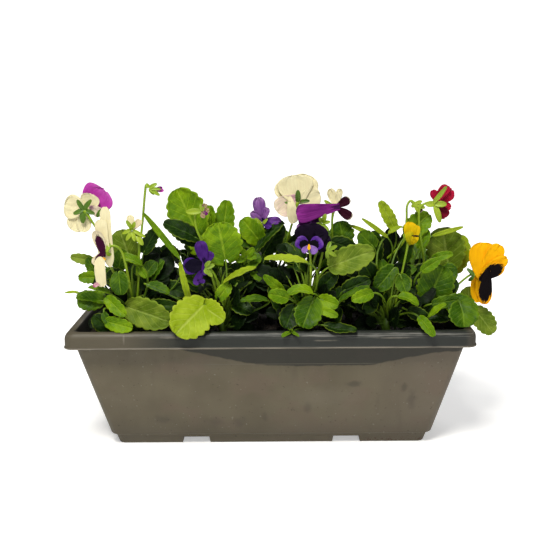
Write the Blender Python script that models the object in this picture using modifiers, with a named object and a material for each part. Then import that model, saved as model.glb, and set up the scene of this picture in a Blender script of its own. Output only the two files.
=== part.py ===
"""Planted window box: a plastic trough, its soil and eight pansy plants with leaves, flowers and buds.

Metres, +Z up. The origin is on the ground under the middle of the trough, whose long side runs along X and
whose front faces -Y. Tables of positions are in millimetres.
"""
import math

import bmesh
import bpy
from mathutils import Vector

MM = 0.001

# Trough: half sizes of the rounded rectangles at each height
HEIGHT = 165 * MM
WALL = 2.5 * MM
RIM = (253 * MM, 95 * MM)
LIP_INSIDE = (250.5 * MM, 92.5 * MM)
LIP_BOTTOM = 145 * MM
BEAD = 0.8 * MM
BODY_TOP = (242.5 * MM, 84.5 * MM)
BODY_FOOT = (210.5 * MM, 60 * MM)
STEP_TOP = 16 * MM
FOOT_TOP = (205 * MM, 56 * MM)
FOOT_BOTTOM = (201.5 * MM, 53 * MM)
FOOT_HEIGHT = 14 * MM
FLOOR = 12 * MM
RIM_CORNER = 12 * MM
BODY_CORNER = 11 * MM
FOOT_CORNER = 9 * MM
CORNER_STEPS = 5
RIM_GAP = LIP_INSIDE[0] - BODY_TOP[0]
SEAM = 0.02 * MM

# Two channels run front to back under the floor, between three hollow feet
CHANNEL_X = (80 * MM, 117 * MM)
CHANNEL_HEIGHT = 9.4 * MM
DRAIN_RADIUS = 4 * MM
DRAIN_Y = (-25 * MM, 25 * MM)

# Soil
GAP = 0.3 * MM
SOIL_TOP = 142 * MM
SOIL_EDGE = 136 * MM

# Plants
STEM_RADIUS = 4.5 * MM
PETIOLE_HALF = 1.3 * MM
LEAF_THICKNESS = 1.1 * MM
STALK_RADIUS = 1.3 * MM
PETAL_THICKNESS = 1.2 * MM
PETIOLE_ROWS = 4
# Direction in degrees, reach and half width in degrees of each petal, with up at 90
PETALS = ((62, 1.0, 42), (118, 1.0, 42), (0, 0.88, 36), (180, 0.88, 36), (270, 0.95, 48))
FACE_STEPS = 30
BLADE_OUTLINE = (0.8, 1.0, 0.96, 0.72, 0.14)
BASAL_REACH = (16 * MM, 38 * MM)
BASAL_RISE = (16 * MM, 11 * MM)
BASAL_WIDTH = 22 * MM

FRONT = (0.0, -1.0, 0.25)
UP = (0.0, -0.35, 1.0)
BACK = (0.0, 1.0, 0.3)

COLOURS = {
    "trough_plastic": ((0.155, 0.135, 0.105), 0.45),
    "soil": ((0.03, 0.022, 0.016), 0.95),
    "stem_green": ((0.16, 0.3, 0.035), 0.5),
    "leaf_bright": ((0.24, 0.42, 0.025), 0.45),
    "leaf_mid": ((0.1, 0.24, 0.02), 0.45),
    "leaf_dark": ((0.03, 0.09, 0.02), 0.5),
    "leaf_grey": ((0.22, 0.34, 0.09), 0.55),
    "petal_cream": ((0.85, 0.8, 0.6), 0.6),
    "petal_violet": ((0.12, 0.04, 0.3), 0.6),
    "petal_mauve": ((0.42, 0.2, 0.55), 0.6),
    "petal_maroon": ((0.12, 0.01, 0.05), 0.6),
    "petal_crimson": ((0.42, 0.01, 0.06), 0.6),
    "petal_yellow": ((0.95, 0.48, 0.01), 0.6),
    "bud_brown": ((0.4, 0.28, 0.18), 0.7),
}

# plant: (x, y, height of its leafy stem, directions of its basal leaves in degrees)
PLANTS = {
    "plant_1": (-175, -30, 50, (120, 220, 300, 20)),
    "plant_2": (-62, -36, 50, (300, 20, 90, 160)),
    "plant_3": (48, -36, 50, (240, 320, 30, 110)),
    "plant_4": (150, -38, 50, (170, 260, 0, 100)),
    "plant_5": (-112, 40, 50, (180, 280, 20, 100)),
    "plant_6": (-2, 40, 50, (270, 0, 80, 170)),
    "plant_7": (108, 40, 50, (90, 190, 285, 350)),
    "plant_8": (210, 0, 50, (90, 150, 210)),
}

# plant, where blade meets petiole, tip, blade width, facing, slot
LEAVES = [
    ("plant_1", (-181, -6, 235), (-196, -4, 277), 36, FRONT, "leaf_grey"),
    ("plant_1", (-209, -34, 188), (-248, -38, 196), 25, UP, "leaf_mid"),
    ("plant_1", (-201, -72, 205), (-175, -86, 185), 16, FRONT, "leaf_bright"),
    ("plant_1", (-198, -68, 162), (-218, -74, 182), 24, FRONT, "leaf_dark"),
    ("plant_1", (-181, -54, 188), (-123, -70, 172), 35, FRONT, "leaf_grey"),
    ("plant_5", (-93, -12, 273), (-119, -6, 330), 49, FRONT, "leaf_bright"),
    ("plant_5", (-91, -24, 268), (-134, -34, 293), 18, UP, "leaf_dark"),
    ("plant_2", (-56, -38, 245), (-64, -40, 292), 51, FRONT, "leaf_bright"),
    ("plant_2", (-58, -50, 216), (-16, -64, 239), 16, UP, "leaf_bright"),
    ("plant_2", (-82, -72, 194), (-114, -104, 167), 49, FRONT, "leaf_bright"),
    ("plant_6", (-18, -2, 247), (19, 4, 284), 26, (-0.7, -0.4, 0.6), "leaf_dark"),
    ("plant_3", (46, -68, 246), (-7, -74, 252), 18, UP, "leaf_bright"),
    ("plant_3", (52, -74, 209), (22, -82, 210), 17, UP, "leaf_bright"),
    ("plant_3", (53, -76, 201), (39, -92, 170), 34, FRONT, "leaf_mid"),
    ("plant_3", (22, -78, 204), (-2, -86, 213), 17, FRONT, "leaf_bright"),
    ("plant_3", (74, -48, 236), (129, -58, 259), 33, FRONT, "leaf_grey"),
    ("plant_3", (66, -84, 171), (105, -98, 168), 17, UP, "leaf_dark"),
    ("plant_7", (97, 6, 254), (91, 10, 284), 32, FRONT, "leaf_mid"),
    ("plant_7", (161, 6, 273), (137, 4, 312), 16, FRONT, "leaf_bright"),
    ("plant_4", (126, -70, 208), (99, -80, 202), 15, FRONT, "leaf_bright"),
    ("plant_4", (180, 4, 268), (208, 8, 293), 26, FRONT, "leaf_bright"),
    ("plant_4", (156, -38, 231), (134, -44, 205), 25, FRONT, "leaf_mid"),
    ("plant_4", (182, -84, 181), (197, -106, 163), 12, FRONT, "leaf_bright"),
    ("plant_8", (238, 14, 222), (228, 16, 274), 50, FRONT, "leaf_mid"),
    ("plant_8", (201, -42, 192), (218, -46, 236), 45, FRONT, "leaf_mid"),
    ("plant_8", (226, -60, 190), (257, -66, 180), 28, (0.0, -0.8, 0.6), "leaf_mid"),
    ("plant_8", (265, -18, 172), (291, -24, 137), 28, FRONT, "leaf_grey"),
    ("plant_5", (-140, 70, 200), (-170, 96, 186), 34, BACK, "leaf_mid"),
    ("plant_6", (22, 76, 195), (40, 106, 178), 38, BACK, "leaf_bright"),
    ("plant_7", (128, 76, 198), (150, 104, 180), 36, BACK, "leaf_bright"),
]

# name, plant, centre, facing, radius, cup, slot
FLOWERS = [
    ("pansy_cream_left", "plant_1", (-232, -20, 303), (-0.2, 1.0, 0.1), 29, 0.3, "petal_cream"),
    ("pansy_cream_side", "plant_1", (-208, -58, 255), (-1.0, -0.35, 0.0), 36, 0.25, "petal_cream"),
    ("pansy_cream_small", "plant_1", (-166, -34, 278), (0.5, -0.4, 0.6), 14, 0.6, "petal_cream"),
    ("pansy_violet_side", "plant_2", (-92, -48, 246), (-0.8, -0.55, -0.1), 24, 0.3, "petal_violet"),
    ("pansy_mauve", "plant_6", (-11, 10, 296), (0.2, -0.5, 0.5), 17, 0.8, "petal_mauve"),
    ("pansy_cream_tall", "plant_6", (28, -6, 325), (0.0, 1.0, 0.15), 32, 0.2, "petal_cream"),
    ("pansy_purple_folded", "plant_3", (58, -30, 297), (-0.3, 0.1, 0.9), 26, 0.2, "petal_mauve"),
    ("pansy_maroon_side", "plant_7", (87, 0, 302), (0.8, -0.5, 0.1), 20, 0.3, "petal_maroon"),
    ("pansy_dark_front", "plant_3", (47, -62, 270), (0.0, -1.0, 0.1), 22, 0.15, "petal_violet"),
    ("pansy_crimson", "plant_8", (222, -5, 309), (0.8, 0.3, 0.15), 20, 0.7, "petal_crimson"),
    ("pansy_yellow", "plant_8", (268, -25, 246), (0.85, -0.5, -0.1), 36, 0.3, "petal_yellow"),
]

# name, plant, centre, pointing, length, radius, slot
BUDS = [
    ("bud_tall", "plant_1", (-150, -10, 330), (1.0, -0.2, -0.15), 20, 4.5, "leaf_bright"),
    ("bud_withered", "plant_2", (-84, -34, 307), (-0.6, -0.7, -0.3), 12, 5.0, "bud_brown"),
    ("bud_yellow", "plant_4", (177, -30, 277), (-0.2, -0.8, 0.4), 20, 9.0, "petal_yellow"),
    ("bud_drooping", "plant_7", (187, 0, 304), (0.7, -0.4, -0.5), 24, 5.5, "leaf_bright"),
]


def clear_scene():
    for old in list(bpy.data.objects):
        bpy.data.objects.remove(old, do_unlink=True)


def new_collection(name):
    made = bpy.data.collections.new(name)
    bpy.context.scene.collection.children.link(made)
    return made


def new_object(name, mesh, collection):
    made = bpy.data.objects.new(name, mesh)
    collection.objects.link(made)
    return made


def material(node, slot):
    colour, roughness = COLOURS[slot]
    made = bpy.data.materials.new(node + "_" + slot)
    made.use_nodes = True
    shader = made.node_tree.nodes["Principled BSDF"]
    shader.inputs["Base Color"].default_value = (*colour, 1.0)
    shader.inputs["Roughness"].default_value = roughness
    shader.inputs["Metallic"].default_value = 0.0
    return made


def finish(part, slot, smooth=30):
    """Gives a part its material and keeps edges sharper than the angle crisp."""
    part.data.materials.clear()
    part.data.materials.append(material(part.name, slot))
    part.data.shade_smooth()
    part.data.set_sharp_from_angle(angle=math.radians(smooth))


def apply_modifier(part, modifier):
    bpy.context.view_layer.objects.active = part
    bpy.ops.object.modifier_apply(modifier=modifier.name)


def boolean(part, other, operation):
    modifier = part.modifiers.new(operation.lower(), "BOOLEAN")
    modifier.solver = "EXACT"
    modifier.operation = operation
    modifier.object = other
    apply_modifier(part, modifier)


def keep_as_cutter(cutter):
    cutter.hide_render = True
    cutter.display_type = "WIRE"


# ---------------------------------------------------------------- trough and soil


def add_ring(bm, half_x, half_y, radius, z):
    """A rounded rectangle of vertices at one height, counter-clockwise from above."""
    ring = []
    for sign_x, sign_y, start in ((1, 1, 0), (-1, 1, 90), (-1, -1, 180), (1, -1, 270)):
        for step in range(CORNER_STEPS + 1):
            angle = math.radians(start + 90 * step / CORNER_STEPS)
            x = sign_x * (half_x - radius) + radius * math.cos(angle)
            y = sign_y * (half_y - radius) + radius * math.sin(angle)
            ring.append(bm.verts.new((x, y, z)))
    return ring


def loft(name, sections, collection):
    """A closed solid through rounded rectangles (half_x, half_y, corner radius, z)."""
    bm = bmesh.new()
    rings = [add_ring(bm, *section) for section in sections]
    for low, high in zip(rings, rings[1:]):
        for i in range(len(low)):
            j = (i + 1) % len(low)
            bm.faces.new((low[i], low[j], high[j], high[i]))
    bm.faces.new(list(reversed(rings[0])))
    bm.faces.new(rings[-1])
    mesh = bpy.data.meshes.new(name)
    bm.to_mesh(mesh)
    bm.free()
    return new_object(name, mesh, collection)


def outer_sections():
    rim_x, rim_y = RIM
    return [
        (FOOT_BOTTOM[0] - 1 * MM, FOOT_BOTTOM[1] - 1 * MM, FOOT_CORNER, 0.0),
        (*FOOT_BOTTOM, FOOT_CORNER, 1 * MM),
        (*FOOT_TOP, FOOT_CORNER, FOOT_HEIGHT),
        (*BODY_FOOT, BODY_CORNER, STEP_TOP),
        (*BODY_TOP, BODY_CORNER, LIP_BOTTOM),
        (*BODY_TOP, BODY_CORNER, HEIGHT - WALL),
        (*LIP_INSIDE, RIM_CORNER, HEIGHT - WALL),
        (*LIP_INSIDE, RIM_CORNER, LIP_BOTTOM),
        (rim_x + BEAD, rim_y + BEAD, RIM_CORNER, LIP_BOTTOM),
        (rim_x + BEAD, rim_y + BEAD, RIM_CORNER, LIP_BOTTOM + 1.8 * MM),
        (rim_x, rim_y, RIM_CORNER, LIP_BOTTOM + 2.6 * MM),
        (rim_x, rim_y, RIM_CORNER, HEIGHT - 5.5 * MM),
        (rim_x - 0.9 * MM, rim_y - 0.9 * MM, RIM_CORNER, HEIGHT - 2.6 * MM),
        (rim_x - 3 * MM, rim_y - 3 * MM, RIM_CORNER, HEIGHT - 0.6 * MM),
        (rim_x - 5.5 * MM, rim_y - 5.5 * MM, RIM_CORNER, HEIGHT),
    ]


def inner_sections(gap, top, top_z):
    """The inside of the walls, drawn in by a gap, up to a height with its own half sizes."""
    inset = WALL + gap
    return [
        (FOOT_TOP[0] - 3 * MM - gap, FOOT_TOP[1] - 3 * MM - gap, FOOT_CORNER, FLOOR + gap),
        (FOOT_TOP[0] - 2.7 * MM - gap, FOOT_TOP[1] - 2.7 * MM - gap, FOOT_CORNER, STEP_TOP - 1 * MM),
        (BODY_FOOT[0] - inset, BODY_FOOT[1] - inset, BODY_CORNER, STEP_TOP + 1.5 * MM),
        (top[0] - inset, top[1] - inset, BODY_CORNER, top_z),
    ]


def add_box(name, low, high, collection, taper=0.0):
    """A block between two corners; taper draws its top in along X on each side."""
    bm = bmesh.new()
    bmesh.ops.create_cube(bm, size=1.0)
    for vert in bm.verts:
        at_top = vert.co.z > 0
        for k in range(3):
            vert.co[k] = high[k] if vert.co[k] > 0 else low[k]
        if at_top:
            vert.co.x += taper if vert.co.x < (low[0] + high[0]) / 2 else -taper
    mesh = bpy.data.meshes.new(name)
    bm.to_mesh(mesh)
    bm.free()
    return new_object(name, mesh, collection)


def foot_pockets(gap, top_z, collection):
    """The hollows of the three feet, drawn in by a gap."""
    inset = WALL + gap
    half_y = FOOT_BOTTOM[1] - inset
    end = FOOT_BOTTOM[0] - inset - 1 * MM
    spans = (
        (-end, -CHANNEL_X[1] - inset),
        (-CHANNEL_X[0] + inset, CHANNEL_X[0] - inset),
        (CHANNEL_X[1] + inset, end),
    )
    return [
        add_box(f"pocket_{i}", (x0, -half_y, WALL + gap), (x1, half_y, top_z), collection)
        for i, (x0, x1) in enumerate(spans)
    ]


def channel_cutters(collection):
    cutters = []
    for sign in (-1, 1):
        x0, x1 = sorted((sign * CHANNEL_X[0], sign * CHANNEL_X[1]))
        low = (x0, -70 * MM, -2 * MM)
        high = (x1, 70 * MM, CHANNEL_HEIGHT)
        cutters.append(add_box(f"channel_{sign}", low, high, collection, taper=1.5 * MM))
    return cutters


def drain_cutters(collection):
    cutters = []
    for sign in (-1, 1):
        for y in DRAIN_Y:
            x = sign * (CHANNEL_X[0] + CHANNEL_X[1]) / 2
            bpy.ops.mesh.primitive_cylinder_add(
                vertices=16, radius=DRAIN_RADIUS, depth=8 * MM, location=(x, y, 10.5 * MM)
            )
            drain = bpy.context.active_object
            drain.name = f"drain_{len(cutters)}"
            for owner in drain.users_collection:
                owner.objects.unlink(drain)
            collection.objects.link(drain)
            cutters.append(drain)
    return cutters


def seam_cutters(cutters):
    """Blocks and a ring that part the moulding into its shell, its rim and its three feet."""
    under = CHANNEL_HEIGHT - SEAM
    middle = (CHANNEL_X[0] + CHANNEL_X[1]) / 2
    top = HEIGHT - WALL
    wide = RIM[0] + 20 * MM
    deep = RIM[1] + 20 * MM
    ring = (BODY_TOP[0] + RIM_GAP / 2, BODY_TOP[1] + RIM_GAP / 2, BODY_CORNER)
    inner = loft("seam_inner", [(*ring, CHANNEL_HEIGHT), (*ring, top - SEAM)], cutters)
    lower = add_box("seam_lower", (-wide, -deep, CHANNEL_HEIGHT), (wide, deep, top - SEAM), cutters)
    upper = add_box("seam_upper", (-wide, -deep, top), (wide, deep, HEIGHT + 5 * MM), cutters)
    feet = {
        "foot_left": add_box("seam_left", (-wide, -deep, -5 * MM), (-middle, deep, under), cutters),
        "foot_middle": add_box("seam_middle", (-middle, -deep, -5 * MM), (middle, deep, under), cutters),
        "foot_right": add_box("seam_right", (middle, -deep, -5 * MM), (wide, deep, under), cutters),
    }
    return inner, lower, upper, feet


def split_off(whole, name, keep, parts, drop=None):
    """A copy of the whole moulding that keeps only what is inside one cutter and outside another."""
    made = new_object(name, whole.data.copy(), parts)
    boolean(made, keep, "INTERSECT")
    if drop:
        boolean(made, drop, "DIFFERENCE")
    finish(made, "trough_plastic")


def build_trough(parts, cutters):
    """One moulding, parted at thin seams into solids that each bend around no opening."""
    whole = loft("moulding", outer_sections(), cutters)
    hollow = loft("hollow", inner_sections(0.0, BODY_TOP, LIP_BOTTOM), cutters)
    mouth = loft(
        "mouth",
        [
            (BODY_TOP[0] - WALL, BODY_TOP[1] - WALL, BODY_CORNER, LIP_BOTTOM - 1 * MM),
            (BODY_TOP[0] - WALL, BODY_TOP[1] - WALL, BODY_CORNER, HEIGHT - 2 * MM),
            (BODY_TOP[0] - WALL + 3 * MM, BODY_TOP[1] - WALL + 3 * MM, BODY_CORNER, HEIGHT + 1 * MM),
        ],
        cutters,
    )
    cuts = [hollow, mouth]
    cuts += foot_pockets(0.0, FLOOR + 1 * MM, cutters)
    cuts += channel_cutters(cutters)
    cuts += drain_cutters(cutters)
    for cut in cuts:
        keep_as_cutter(cut)
        boolean(whole, cut, "DIFFERENCE")
    inner, lower, upper, feet = seam_cutters(cutters)
    for cutter in (whole, inner, lower, upper, *feet.values()):
        keep_as_cutter(cutter)
    split_off(whole, "trough", inner, parts)
    split_off(whole, "rim_skirt", lower, parts, drop=inner)
    split_off(whole, "rim_top", upper, parts)
    for name, foot in feet.items():
        split_off(whole, name, foot, parts)


def build_soil(parts, cutters):
    share = (SOIL_EDGE - STEP_TOP) / (LIP_BOTTOM - STEP_TOP)
    edge = tuple(BODY_FOOT[k] + share * (BODY_TOP[k] - BODY_FOOT[k]) - 0.3 * MM for k in (0, 1))
    sections = inner_sections(GAP, edge, SOIL_EDGE)
    sections += [
        (edge[0] - 12 * MM, edge[1] - 12 * MM, BODY_CORNER, SOIL_TOP - 1.5 * MM),
        (edge[0] - 24 * MM, edge[1] - 24 * MM, BODY_CORNER, SOIL_TOP),
    ]
    soil = loft("soil", sections, parts)
    for fill in foot_pockets(GAP, FLOOR + 3 * MM, cutters):
        keep_as_cutter(fill)
        boolean(soil, fill, "UNION")
    finish(soil, "soil")


# ---------------------------------------------------------------- plants


def tube(name, points, radii, collection):
    """A round stalk through the points, with its ends filled."""
    curve = bpy.data.curves.new(name, "CURVE")
    curve.dimensions = "3D"
    curve.bevel_depth = 1.0
    curve.bevel_resolution = 1
    curve.use_fill_caps = True
    spline = curve.splines.new("POLY")
    spline.points.add(len(points) - 1)
    for i, (point, radius) in enumerate(zip(points, radii)):
        spline.points[i].co = (*point, 1.0)
        spline.points[i].radius = radius
    made = new_object(name, curve, collection)
    bpy.context.view_layer.update()
    evaluated = made.evaluated_get(bpy.context.evaluated_depsgraph_get())
    mesh = bpy.data.meshes.new_from_object(evaluated)
    bpy.data.objects.remove(made, do_unlink=True)
    bpy.data.curves.remove(curve)
    bm = bmesh.new()
    bm.from_mesh(mesh)
    bmesh.ops.remove_doubles(bm, verts=bm.verts, dist=0.01 * MM)
    bmesh.ops.recalc_face_normals(bm, faces=bm.faces)
    bm.to_mesh(mesh)
    bm.free()
    return new_object(name, mesh, collection)


def stem_axis(plant):
    x, y, height, _ = PLANTS[plant]
    return Vector((x, y, 0)) * MM, SOIL_TOP + GAP, height * MM


def build_plant(name, parts):
    """The short stem that stands in the soil, with the low leaves that spread from its foot, in one body."""
    foot, base, height = stem_axis(name)
    levels = 5
    points = []
    radii = []
    for i in range(levels):
        share = i / (levels - 1)
        points.append(foot + Vector((0, 0, base + share * height)))
        radii.append(STEM_RADIUS * (1.0 - 0.25 * share))
    stem = tube(name, points, radii, parts)
    for i, degrees in enumerate(PLANTS[name][3]):
        angle = math.radians(degrees)
        away = Vector((math.cos(angle), math.sin(angle), 0))
        root = foot + Vector((0, 0, base + (3 + 2.5 * i) * MM)) + away * STEM_RADIUS * 0.4
        joint = root + away * BASAL_REACH[0] + Vector((0, 0, BASAL_RISE[0]))
        tip = root + away * BASAL_REACH[1] + Vector((0, 0, BASAL_RISE[1]))
        low_leaf = leaf_solid("low_leaf", root, joint, tip, BASAL_WIDTH, Vector((0, 0, 1)), parts)
        boolean(stem, low_leaf, "UNION")
        bpy.data.objects.remove(low_leaf, do_unlink=True)
    finish(stem, "stem_green", smooth=60)


def attachment(plant, target, order, count):
    """Where the stalk number order of count leaves the plant's stem on its way to a target."""
    foot, base, height = stem_axis(plant)
    level = base + height * (0.08 + 0.86 * order / max(count - 1, 1))
    away = Vector((target.x - foot.x, target.y - foot.y, 0)).normalized()
    return foot + away * (STEM_RADIUS + PETIOLE_HALF + 0.5 * MM) + Vector((0, 0, level))


def bezier(a, b, c, t):
    return a * (1 - t) ** 2 + b * 2 * t * (1 - t) + c * t**2


def leaf_spine(root, joint, tip, facing, arch):
    """Centres of the leaf's rows, from the stem along the petiole and the blade."""
    axis = (tip - joint).normalized()
    bend = joint - axis * 0.45 * (joint - root).length
    bend.z = max(bend.z, root.z)
    centres = [bezier(root, bend, joint, i / PETIOLE_ROWS) for i in range(PETIOLE_ROWS + 1)]
    for i in range(1, len(BLADE_OUTLINE) + 1):
        t = i / len(BLADE_OUTLINE)
        centres.append(joint.lerp(tip, t) + facing * arch * 4 * t * (1 - t) * (tip - joint).length)
    return centres


def side_vectors(centres, facing):
    """Widthwise direction of each row: set by the facing in the blade, carried down the petiole."""
    heading = [(b - a).normalized() for a, b in zip(centres, centres[1:])]
    heading.append(heading[-1])
    axis = (centres[-1] - centres[PETIOLE_ROWS]).normalized()
    side = axis.cross(facing).normalized()
    sides = [side.copy() for _ in centres]
    for row in range(PETIOLE_ROWS, -1, -1):
        before = axis if row == PETIOLE_ROWS else heading[row + 1]
        side = side.copy()
        side.rotate(before.rotation_difference(heading[row]))
        sides[row] = side
    return sides, heading


def leaf_solid(name, root, joint, tip, width, facing, parts, cup=0.22, arch=0.08):
    """One leaf: a narrow petiole that widens into a blade folded a little along its midrib."""
    facing = facing.normalized()
    centres = leaf_spine(root, joint, tip, facing, arch)
    sides, heading = side_vectors(centres, facing)
    halves = [PETIOLE_HALF] * (PETIOLE_ROWS + 1) + [width / 2 * share for share in BLADE_OUTLINE]
    rows = len(centres)
    bm = bmesh.new()
    bmesh.ops.create_grid(bm, x_segments=2, y_segments=rows - 1, size=1.0)
    for vert in bm.verts:
        row = round((vert.co.y + 1) / 2 * (rows - 1))
        across = vert.co.x
        lift = sides[row].cross(heading[row]) * (cup * halves[row] * abs(across))
        vert.co = centres[row] + sides[row] * (across * halves[row]) + lift
    mesh = bpy.data.meshes.new(name)
    bm.to_mesh(mesh)
    bm.free()
    leaf = new_object(name, mesh, parts)
    shell = leaf.modifiers.new("thickness", "SOLIDIFY")
    shell.thickness = LEAF_THICKNESS
    shell.offset = 0.0
    apply_modifier(leaf, shell)
    return leaf


def face_axes(facing):
    """Right and up directions of a flower's face."""
    right = facing.cross(Vector((0, 0, 1)))
    if right.length < 0.3:
        right = Vector((1, 0, 0))
    right.normalize()
    return right, right.cross(facing).normalized()


def petal_reach(angle):
    """Outline of a pansy's face: two petals up, one to each side and a broad one below."""
    degrees = math.degrees(angle)
    best = 0.0
    for centre, reach, width in PETALS:
        off = abs((degrees - centre + 180) % 360 - 180) / width
        best = max(best, reach * math.sqrt(max(1.0 - 0.72 * off * off, 0.2)))
    return best


def stalk_points(root, calyx, facing, up, reach):
    """Up from the plant, over a hook behind the flower and into its calyx."""
    hook = calyx - facing * reach + up * reach * 0.5
    bend = hook - up * 0.4 * (hook - root).length
    bend = bend.lerp(root, 0.25)
    points = [bezier(root, bend, hook, i / 5) for i in range(6)]
    return points + [calyx - facing * reach * 0.4 + up * reach * 0.45, calyx]


def build_flower(name, root, centre, facing, radius, cup, slot, parts):
    """One pansy: a five-lobed face, the calyx behind it and the stalk, in one body."""
    facing = facing.normalized()
    right, up = face_axes(facing)
    bm = bmesh.new()
    bmesh.ops.create_circle(bm, cap_ends=True, cap_tris=True, segments=FACE_STEPS, radius=1.0)
    for vert in bm.verts:
        reach = vert.co.length
        if reach > 0.5:
            angle = math.atan2(vert.co.y, vert.co.x)
            out = radius * petal_reach(angle)
            flat = math.cos(cup)
            lift = math.sin(cup) * out
            vert.co = centre + (right * vert.co.x + up * vert.co.y) * out * flat + facing * lift
        else:
            vert.co = centre
    mesh = bpy.data.meshes.new(name)
    bm.to_mesh(mesh)
    bm.free()
    head = new_object(name, mesh, parts)
    shell = head.modifiers.new("thickness", "SOLIDIFY")
    shell.thickness = PETAL_THICKNESS
    shell.offset = 0.0
    apply_modifier(head, shell)
    calyx = centre - facing * 7 * MM
    stalk = tube("stalk", stalk_points(root, calyx, facing, up, 7 * MM), [STALK_RADIUS] * 8, parts)
    cone = tube("calyx", [calyx - facing * 1.5 * MM, calyx, centre], [2 * MM, 3.6 * MM, 3 * MM], parts)
    for piece in (cone, stalk):
        boolean(head, piece, "UNION")
        bpy.data.objects.remove(piece, do_unlink=True)
    finish(head, slot, smooth=40)


def build_bud(name, root, centre, pointing, length, radius, slot, parts):
    """One closed bud with its stalk, in one body."""
    pointing = pointing.normalized()
    _, up = face_axes(pointing)
    shares = ((-0.5, 0.35), (-0.3, 0.8), (0.0, 1.0), (0.3, 0.75), (0.5, 0.25))
    points = [centre + pointing * length * along for along, _ in shares]
    bud = tube(name, points, [radius * size for _, size in shares], parts)
    calyx = centre - pointing * length * 0.3
    stalk = tube("stalk", stalk_points(root, calyx, pointing, up, length * 0.5), [STALK_RADIUS] * 8, parts)
    boolean(bud, stalk, "UNION")
    bpy.data.objects.remove(stalk, do_unlink=True)
    finish(bud, slot, smooth=50)


def build_plants(parts):
    """Everything that grows; stalks to higher targets leave the stem higher up."""
    growths = []
    for i, (plant, joint, tip, width, facing, slot) in enumerate(LEAVES):
        growths.append((plant, joint, "leaf", (f"leaf_{i + 1:02d}", tip, width, facing, slot)))
    for name, plant, centre, facing, radius, cup, slot in FLOWERS:
        growths.append((plant, centre, "flower", (name, facing, radius, cup, slot)))
    for name, plant, centre, pointing, length, radius, slot in BUDS:
        growths.append((plant, centre, "bud", (name, pointing, length, radius, slot)))
    for plant in PLANTS:
        build_plant(plant, parts)
        own = sorted((g for g in growths if g[0] == plant), key=lambda g: g[1][2])
        for order, (_, target, kind, details) in enumerate(own):
            target = Vector(target) * MM
            root = attachment(plant, target, order, len(own))
            name, *rest = details
            if kind == "leaf":
                tip, width, facing, slot = rest
                tip = Vector(tip) * MM
                leaf = leaf_solid(name, root, target, tip, width * MM, Vector(facing), parts)
                finish(leaf, slot, smooth=60)
            elif kind == "flower":
                facing, radius, cup, slot = rest
                build_flower(name, root, target, Vector(facing), radius * MM, cup, slot, parts)
            else:
                pointing, length, radius, slot = rest
                build_bud(name, root, target, Vector(pointing), length * MM, radius * MM, slot, parts)


clear_scene()
parts = new_collection("planted_window_box")
cutters = new_collection("cutters")
build_trough(parts, cutters)
build_soil(parts, cutters)
build_plants(parts)
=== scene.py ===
import math
import random

import bmesh
import bpy
from mathutils import Matrix, Vector, noise


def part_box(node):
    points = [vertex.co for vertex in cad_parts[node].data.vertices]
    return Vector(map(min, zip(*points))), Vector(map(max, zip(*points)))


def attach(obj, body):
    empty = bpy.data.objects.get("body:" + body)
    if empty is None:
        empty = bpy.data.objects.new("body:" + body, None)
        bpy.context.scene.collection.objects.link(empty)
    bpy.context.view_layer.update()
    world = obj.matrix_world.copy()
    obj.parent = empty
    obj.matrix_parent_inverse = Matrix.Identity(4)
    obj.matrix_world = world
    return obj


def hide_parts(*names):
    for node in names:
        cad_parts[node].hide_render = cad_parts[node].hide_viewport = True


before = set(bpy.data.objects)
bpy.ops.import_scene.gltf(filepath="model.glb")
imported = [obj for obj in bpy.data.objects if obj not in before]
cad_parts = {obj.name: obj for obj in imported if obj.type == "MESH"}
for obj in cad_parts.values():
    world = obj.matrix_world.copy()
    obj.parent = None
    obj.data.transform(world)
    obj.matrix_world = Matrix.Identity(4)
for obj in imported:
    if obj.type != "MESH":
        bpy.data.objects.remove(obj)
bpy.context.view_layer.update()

random.seed(11)

MM = 0.001


def in_mm(value):
    """Metres of the frame in millimetres, to a tenth."""
    return round(value / MM, 1)


# Sizes that the frame gives: the soil's height, the outer face of the walls at their top, the lower edge of
# the rim's skirt, and the middle and height of the channels between the feet
SOIL_TOP = in_mm(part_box("soil")[1].z)
WALL_X = in_mm(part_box("trough")[1].x)
WALL_Y = in_mm(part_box("trough")[1].y)
SKIRT_LOW = in_mm(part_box("rim_skirt")[0].z)
CHANNEL_X = in_mm((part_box("foot_middle")[1].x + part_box("foot_right")[0].x) / 2)
CHANNEL_TOP = in_mm(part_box("trough")[0].z)

STEM_RADIUS = 4.5
TOOTH_DEPTH = 0.17

# ------------------------------------------------------------------ planting plan, in millimetres

# The way a blade's upper side faces
FRONT = (0.0, -1.0, 0.25)
UP = (0.0, -0.35, 1.0)
BACK = (0.0, 1.0, 0.3)

# x, y of each stem
PLANTS = {
    "plant_1": (-175, -30),
    "plant_2": (-62, -36),
    "plant_3": (48, -36),
    "plant_4": (150, -38),
    "plant_5": (-112, 40),
    "plant_6": (-2, 40),
    "plant_7": (108, 40),
    "plant_8": (210, 0),
}

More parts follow.
